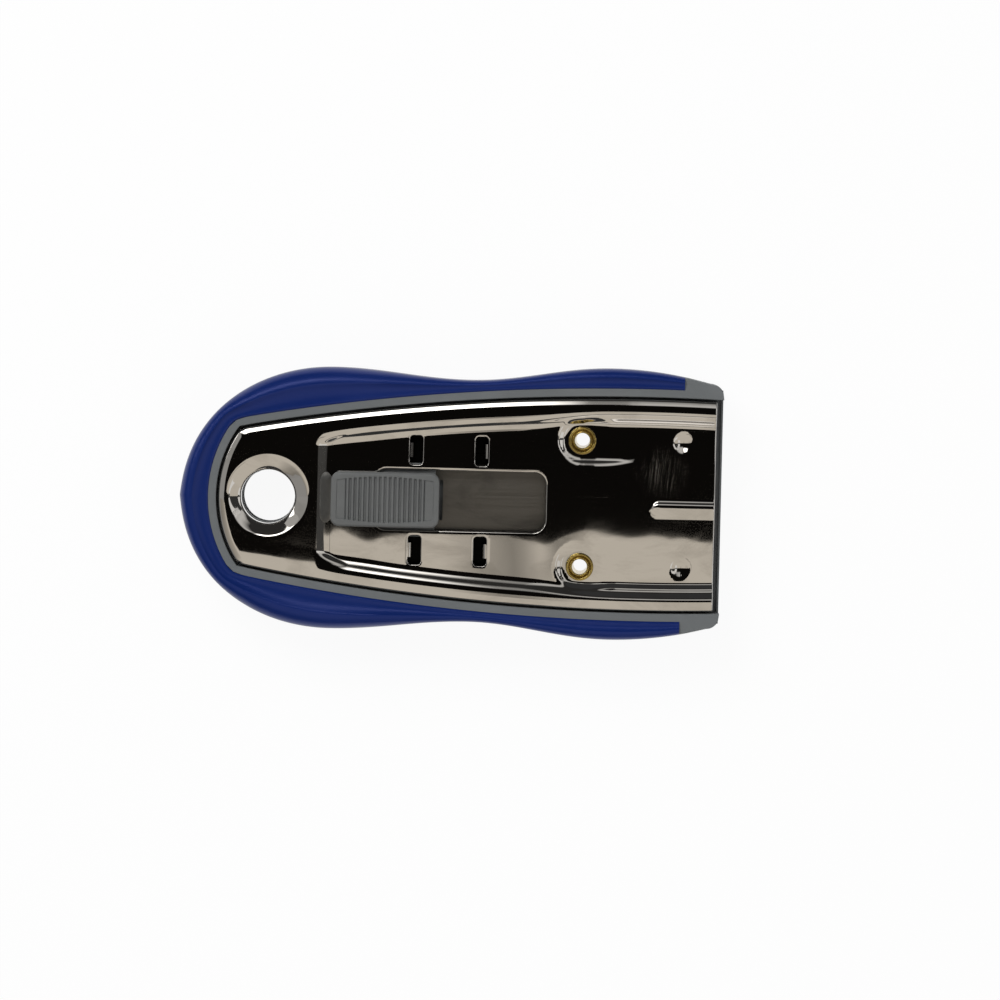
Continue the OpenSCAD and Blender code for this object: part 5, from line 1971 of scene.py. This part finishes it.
@dataclass
class Studio:
    """Floor, cards, lamps and camera, in metres.

    Only reflections see the cards. The large ones are a dark ceiling over the left side of the
    tool, a warm pale wall over its right side and a bright strip beyond the ceiling. The small
    ones hang a little lower, and each changes the light for one part: the countersink, the
    flat behind the right eyelet, the front zone's edge and the steps that face the front.
    """

    height: float = 0.35
    split_y: float = -0.0226
    wall_y: float = -0.4226
    dark_y: float = 0.169
    strip_y: tuple[float, float] = (0.17, 0.279)
    camera_off: float = 0.04
    reach: float = 0.75
    side_x: tuple[float, float] = (-0.22, 0.16)
    near: float = 0.004
    nearer: float = 0.006
    floor_half: float = 3.0
    floor_z: float = -0.0002
    warm: Colour = (0.80, 0.735, 0.64, 1.0)
    grey: Colour = (1.0, 0.98, 0.95, 1.0)
    camera_z: float = 1.2
    pixels: float = 1000.0
    pixels_per_mm: float = 5.27
    centre: tuple[float, float] = (0.0094, 0.00038)
    roll: float = 1.346
    picture_z: float = 0.014

    def ceiling(self) -> list[Card]:
        """Lists the large cards.

        Returns:
            The cards.
        """
        far, grey = self.reach, self.grey
        rear, front = self.side_x
        dark, wall = (self.split_y, self.dark_y), (self.wall_y, self.split_y)
        return [
            Card("dark_card", (rear, front), dark, (0.004, 0.0035, 0.003, 1.0), 1.0),
            Card("warm_card", (-0.33, far), wall, self.warm, 0.31, fade=(-0.33, -0.15, 2.5)),
            Card("front_warm", (0.0, far), (-1.2, -0.503), self.warm, 0.8),
            Card("rear_warm", (-0.75, -0.33), wall, grey, 0.32),
            Card("rear_strip", (-far, -0.1), self.strip_y, grey, 4.2, soft=True),
            Card("bright_strip", (-0.1, far), self.strip_y, grey, 5.2,
                 fade=(-0.012, 0.026, 0.06), soft=True),
            Card("dark_band", (-far, far), (self.strip_y[1], 0.45), grey, 0.03),
            Card("front_grey", (front, 0.3), dark, grey, 0.05),
            Card("rear_grey", (-0.7, rear), dark, grey, 0.34)]

    def accents(self) -> list[Card]:
        """Lists the small cards that hang before the large ones.

        Returns:
            The cards.
        """
        grey, warm, near, nearer = self.grey, self.warm, self.near, self.nearer
        ring, ahead, flat = (0.262, 0.338), (0.19, 1.2), (-0.1, self.split_y)
        return [
            Card("ring_shade", ring, (-0.012, self.dark_y), grey, 0.04, nearer),
            Card("ring_warm", ring, (-0.14, -0.012), warm, 0.74, nearer),
            Card("ring_grey", (-0.352, -0.243), (0.165, 0.285), grey, 0.45, nearer),
            Card("patch_rear", (-0.004, 0.0125), flat, warm, 0.78, near, (-0.004, 0.0125, 0.45)),
            Card("patch_front", (0.0125, 0.029), flat, warm, 0.35, near, (0.0125, 0.029, 2.2)),
            Card("low_strip", (0.0, 0.1), (-0.72, -0.57), (1.0, 0.95, 0.89, 1.0), 1.1, near,
                 soft=True),
            Card("front_light_left", ahead, (0.002, self.dark_y), grey, 0.8, near),
            Card("front_middle", ahead, (-0.033, 0.002), grey, 0.06, near),
            Card("front_light_right", ahead, (-0.14, -0.033), grey, 0.8, near),
            Card("front_sheen", (0.04, 0.3), (0.117, self.strip_y[1]), grey, 0.6, near,
                 soft=True)]

    def floor(self) -> None:
        """Adds the white floor, which keeps the tool's soft shadow, just under the tool's back."""
        mesh = bpy.data.meshes.new("studio_floor")
        far, low = self.floor_half, self.floor_z
        mesh.from_pydata([(-far, -far, low), (far, -far, low), (far, far, low), (-far, far, low)],
                         [], [(0, 1, 2, 3)])
        made, nodes = bare_material("studio_floor")
        matte = nodes.add("ShaderNodeBsdfDiffuse", {"Color": (0.9, 0.9, 0.9, 1.0)})
        white = nodes.add("ShaderNodeEmission", {"Color": (1.0, 1.0, 1.0, 1.0), "Strength": 1.0})
        path = nodes.add("ShaderNodeLightPath").outputs
        seen = nodes.math("MAXIMUM", path["Is Camera Ray"], path["Is Glossy Ray"])
        seen = nodes.math("MAXIMUM", seen, path["Is Transmission Ray"])
        share = nodes.math("MULTIPLY", seen, 0.93)
        mix = nodes.add("ShaderNodeMixShader", {0: share, 1: matte.outputs[0], 2: white.outputs[0]})
        nodes.add("ShaderNodeOutputMaterial", {"Surface": mix.outputs[0]})
        mesh.materials.append(made)
        place_object("studio_floor", mesh)

    def world(self, strength: float = 0.45, mirrored: float = 0.04) -> None:
        """Sets a plain pale world, white to the camera and dimmer in reflections.

        Args:
            strength: Its light on the tool.
            mirrored: Its light in reflections.
        """
        world = bpy.data.worlds.new("studio_world")
        bpy.context.scene.world = world
        world.use_nodes = True
        world.node_tree.nodes.clear()
        nodes = Nodes(world.node_tree)
        path = nodes.add("ShaderNodeLightPath").outputs
        pale, cool = (1.0, 1.0, 1.0, 1.0), (0.95, 0.97, 1.0, 1.0)
        soft, shine, white = (
            nodes.add("ShaderNodeBackground", {"Color": colour, "Strength": power}).outputs[0]
            for colour, power in ((pale, strength), (cool, mirrored), (pale, 1.0)))
        first = nodes.add("ShaderNodeMixShader", {0: path["Is Glossy Ray"], 1: soft, 2: shine})
        second = nodes.add("ShaderNodeMixShader", {
            0: path["Is Camera Ray"], 1: first.outputs[0], 2: white})
        nodes.add("ShaderNodeOutputWorld", {"Surface": second.outputs[0]})

    def lamp(self, name: str, place: Place, size: float, power: float) -> None:
        """Adds a square lamp that looks at the tool.

        Args:
            name: Its name.
            place: Where it hangs.
            size: Its side's length.
            power: Its power in watts.
        """
        data = bpy.data.lights.new(name, "AREA")
        data.shape = "SQUARE"
        data.size = size
        data.energy = power
        lamp = place_object(name, data)
        lamp.location = place
        away = np.array(place) / np.linalg.norm(place)
        turn = math.atan2(away[1], away[0]) + 0.5 * math.pi
        lamp.rotation_euler = (math.acos(away[2]), 0.0, turn)
        lamp.visible_camera = False
        lamp.visible_glossy = False

    def camera(self) -> None:
        """Looks down with a long lens, a little from the left side, rolled as the photograph is.

        The lens is the sensor's width times the distance, over the width that it has to show.
        """
        data = bpy.data.cameras.new("camera")
        width = self.pixels / self.pixels_per_mm * MM
        way = self.camera_z - self.picture_z
        data.sensor_width = 36.0
        data.lens = data.sensor_width * way / width
        data.clip_start = 0.05
        data.clip_end = 10.0
        camera = place_object("camera", data)
        roll = math.radians(self.roll)
        camera.location = (self.centre[0] - self.camera_off * math.sin(roll),
                           self.centre[1] + self.camera_off * math.cos(roll), self.camera_z)
        camera.rotation_euler = (-math.atan2(self.camera_off, way), 0.0, roll)
        bpy.context.scene.camera = camera

    def build(self) -> None:
        """Sets the whole studio up."""
        self.camera()
        self.floor()
        self.world()
        for card in self.ceiling() + self.accents():
            card.build(self.height)
        self.lamp("key_lamp", (-0.35, 0.5, 0.7), 0.5, 4.6)
        self.lamp("fill_lamp", (0.4, -0.6, 0.7), 0.7, 1.6)
        bpy.context.scene.view_settings.view_transform = "Standard"


@dataclass
class Scraper:
    """The whole tool: the finishes, the modelled pieces and the frame's own nodes."""

    frame: dict
    rubber: Finish = field(default_factory=lambda: Rubber("grip_rubber_blue"))
    rigid: Finish = field(default_factory=lambda: Plastic("handle_plastic_grey"))
    cap: Finish = field(default_factory=lambda: Plastic(
        "button_plastic_grey", colour=(0.116, 0.120, 0.119, 1.0), rubbed=(0.134, 0.138, 0.137, 1.0),
        roughness=0.38))
    plated: Finish = field(default_factory=lambda: Plated("nickel_plate"))
    plain: Finish = field(default_factory=lambda: Steel("rolled_steel", shade_from_y=0.0066))
    blade: Finish = field(default_factory=lambda: Steel(
        "ground_steel", colour=(0.62, 0.62, 0.63, 1.0), dull=(0.5, 0.5, 0.5, 1.0),
        roughness=0.3, line_size=5200.0, line_depth=0.1, across=True))
    brass: Finish = field(default_factory=lambda: Brass("rolled_brass"))

    def dress_nodes(self) -> None:
        """Gives the frame's nodes that stay their materials."""
        finishes = {
            "handle_back": self.rigid, "base_plate": self.plain, "blade_carrier": self.plain,
            "blade": self.blade, "blade_spine": self.blade, "button_spring": self.blade,
            "eyelet_spacers": self.plain, "eyelet_washers": self.blade}
        for name, finish in finishes.items():
            node = self.frame["nodes"][name]
            node.data.materials.clear()
            node.data.materials.append(finish.material())
            LOG.info("%s: frame node in %s", name, finish.name)

    def build(self) -> None:
        """Builds every piece in order."""
        GripSleeve(self.rubber).build()
        RigidFrame(self.rigid).build()
        SteelHousing(self.plated).build()
        ThumbButton(self.cap).build()
        Eyelet(self.brass, 1.0, "brass_eyelet_left", "eyelet_left").build()
        Eyelet(self.brass, -1.0, "brass_eyelet_right", "eyelet_right").build()
        PalmPad(self.rubber).build()
        self.dress_nodes()


def main() -> None:
    """Loads the frame, dresses it and sets the studio up."""
    logging.basicConfig(level=logging.INFO, format="%(name)s: %(message)s")
    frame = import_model()
    Studio().build()
    Scraper(frame).build()


if __name__ == "__main__":
    main()
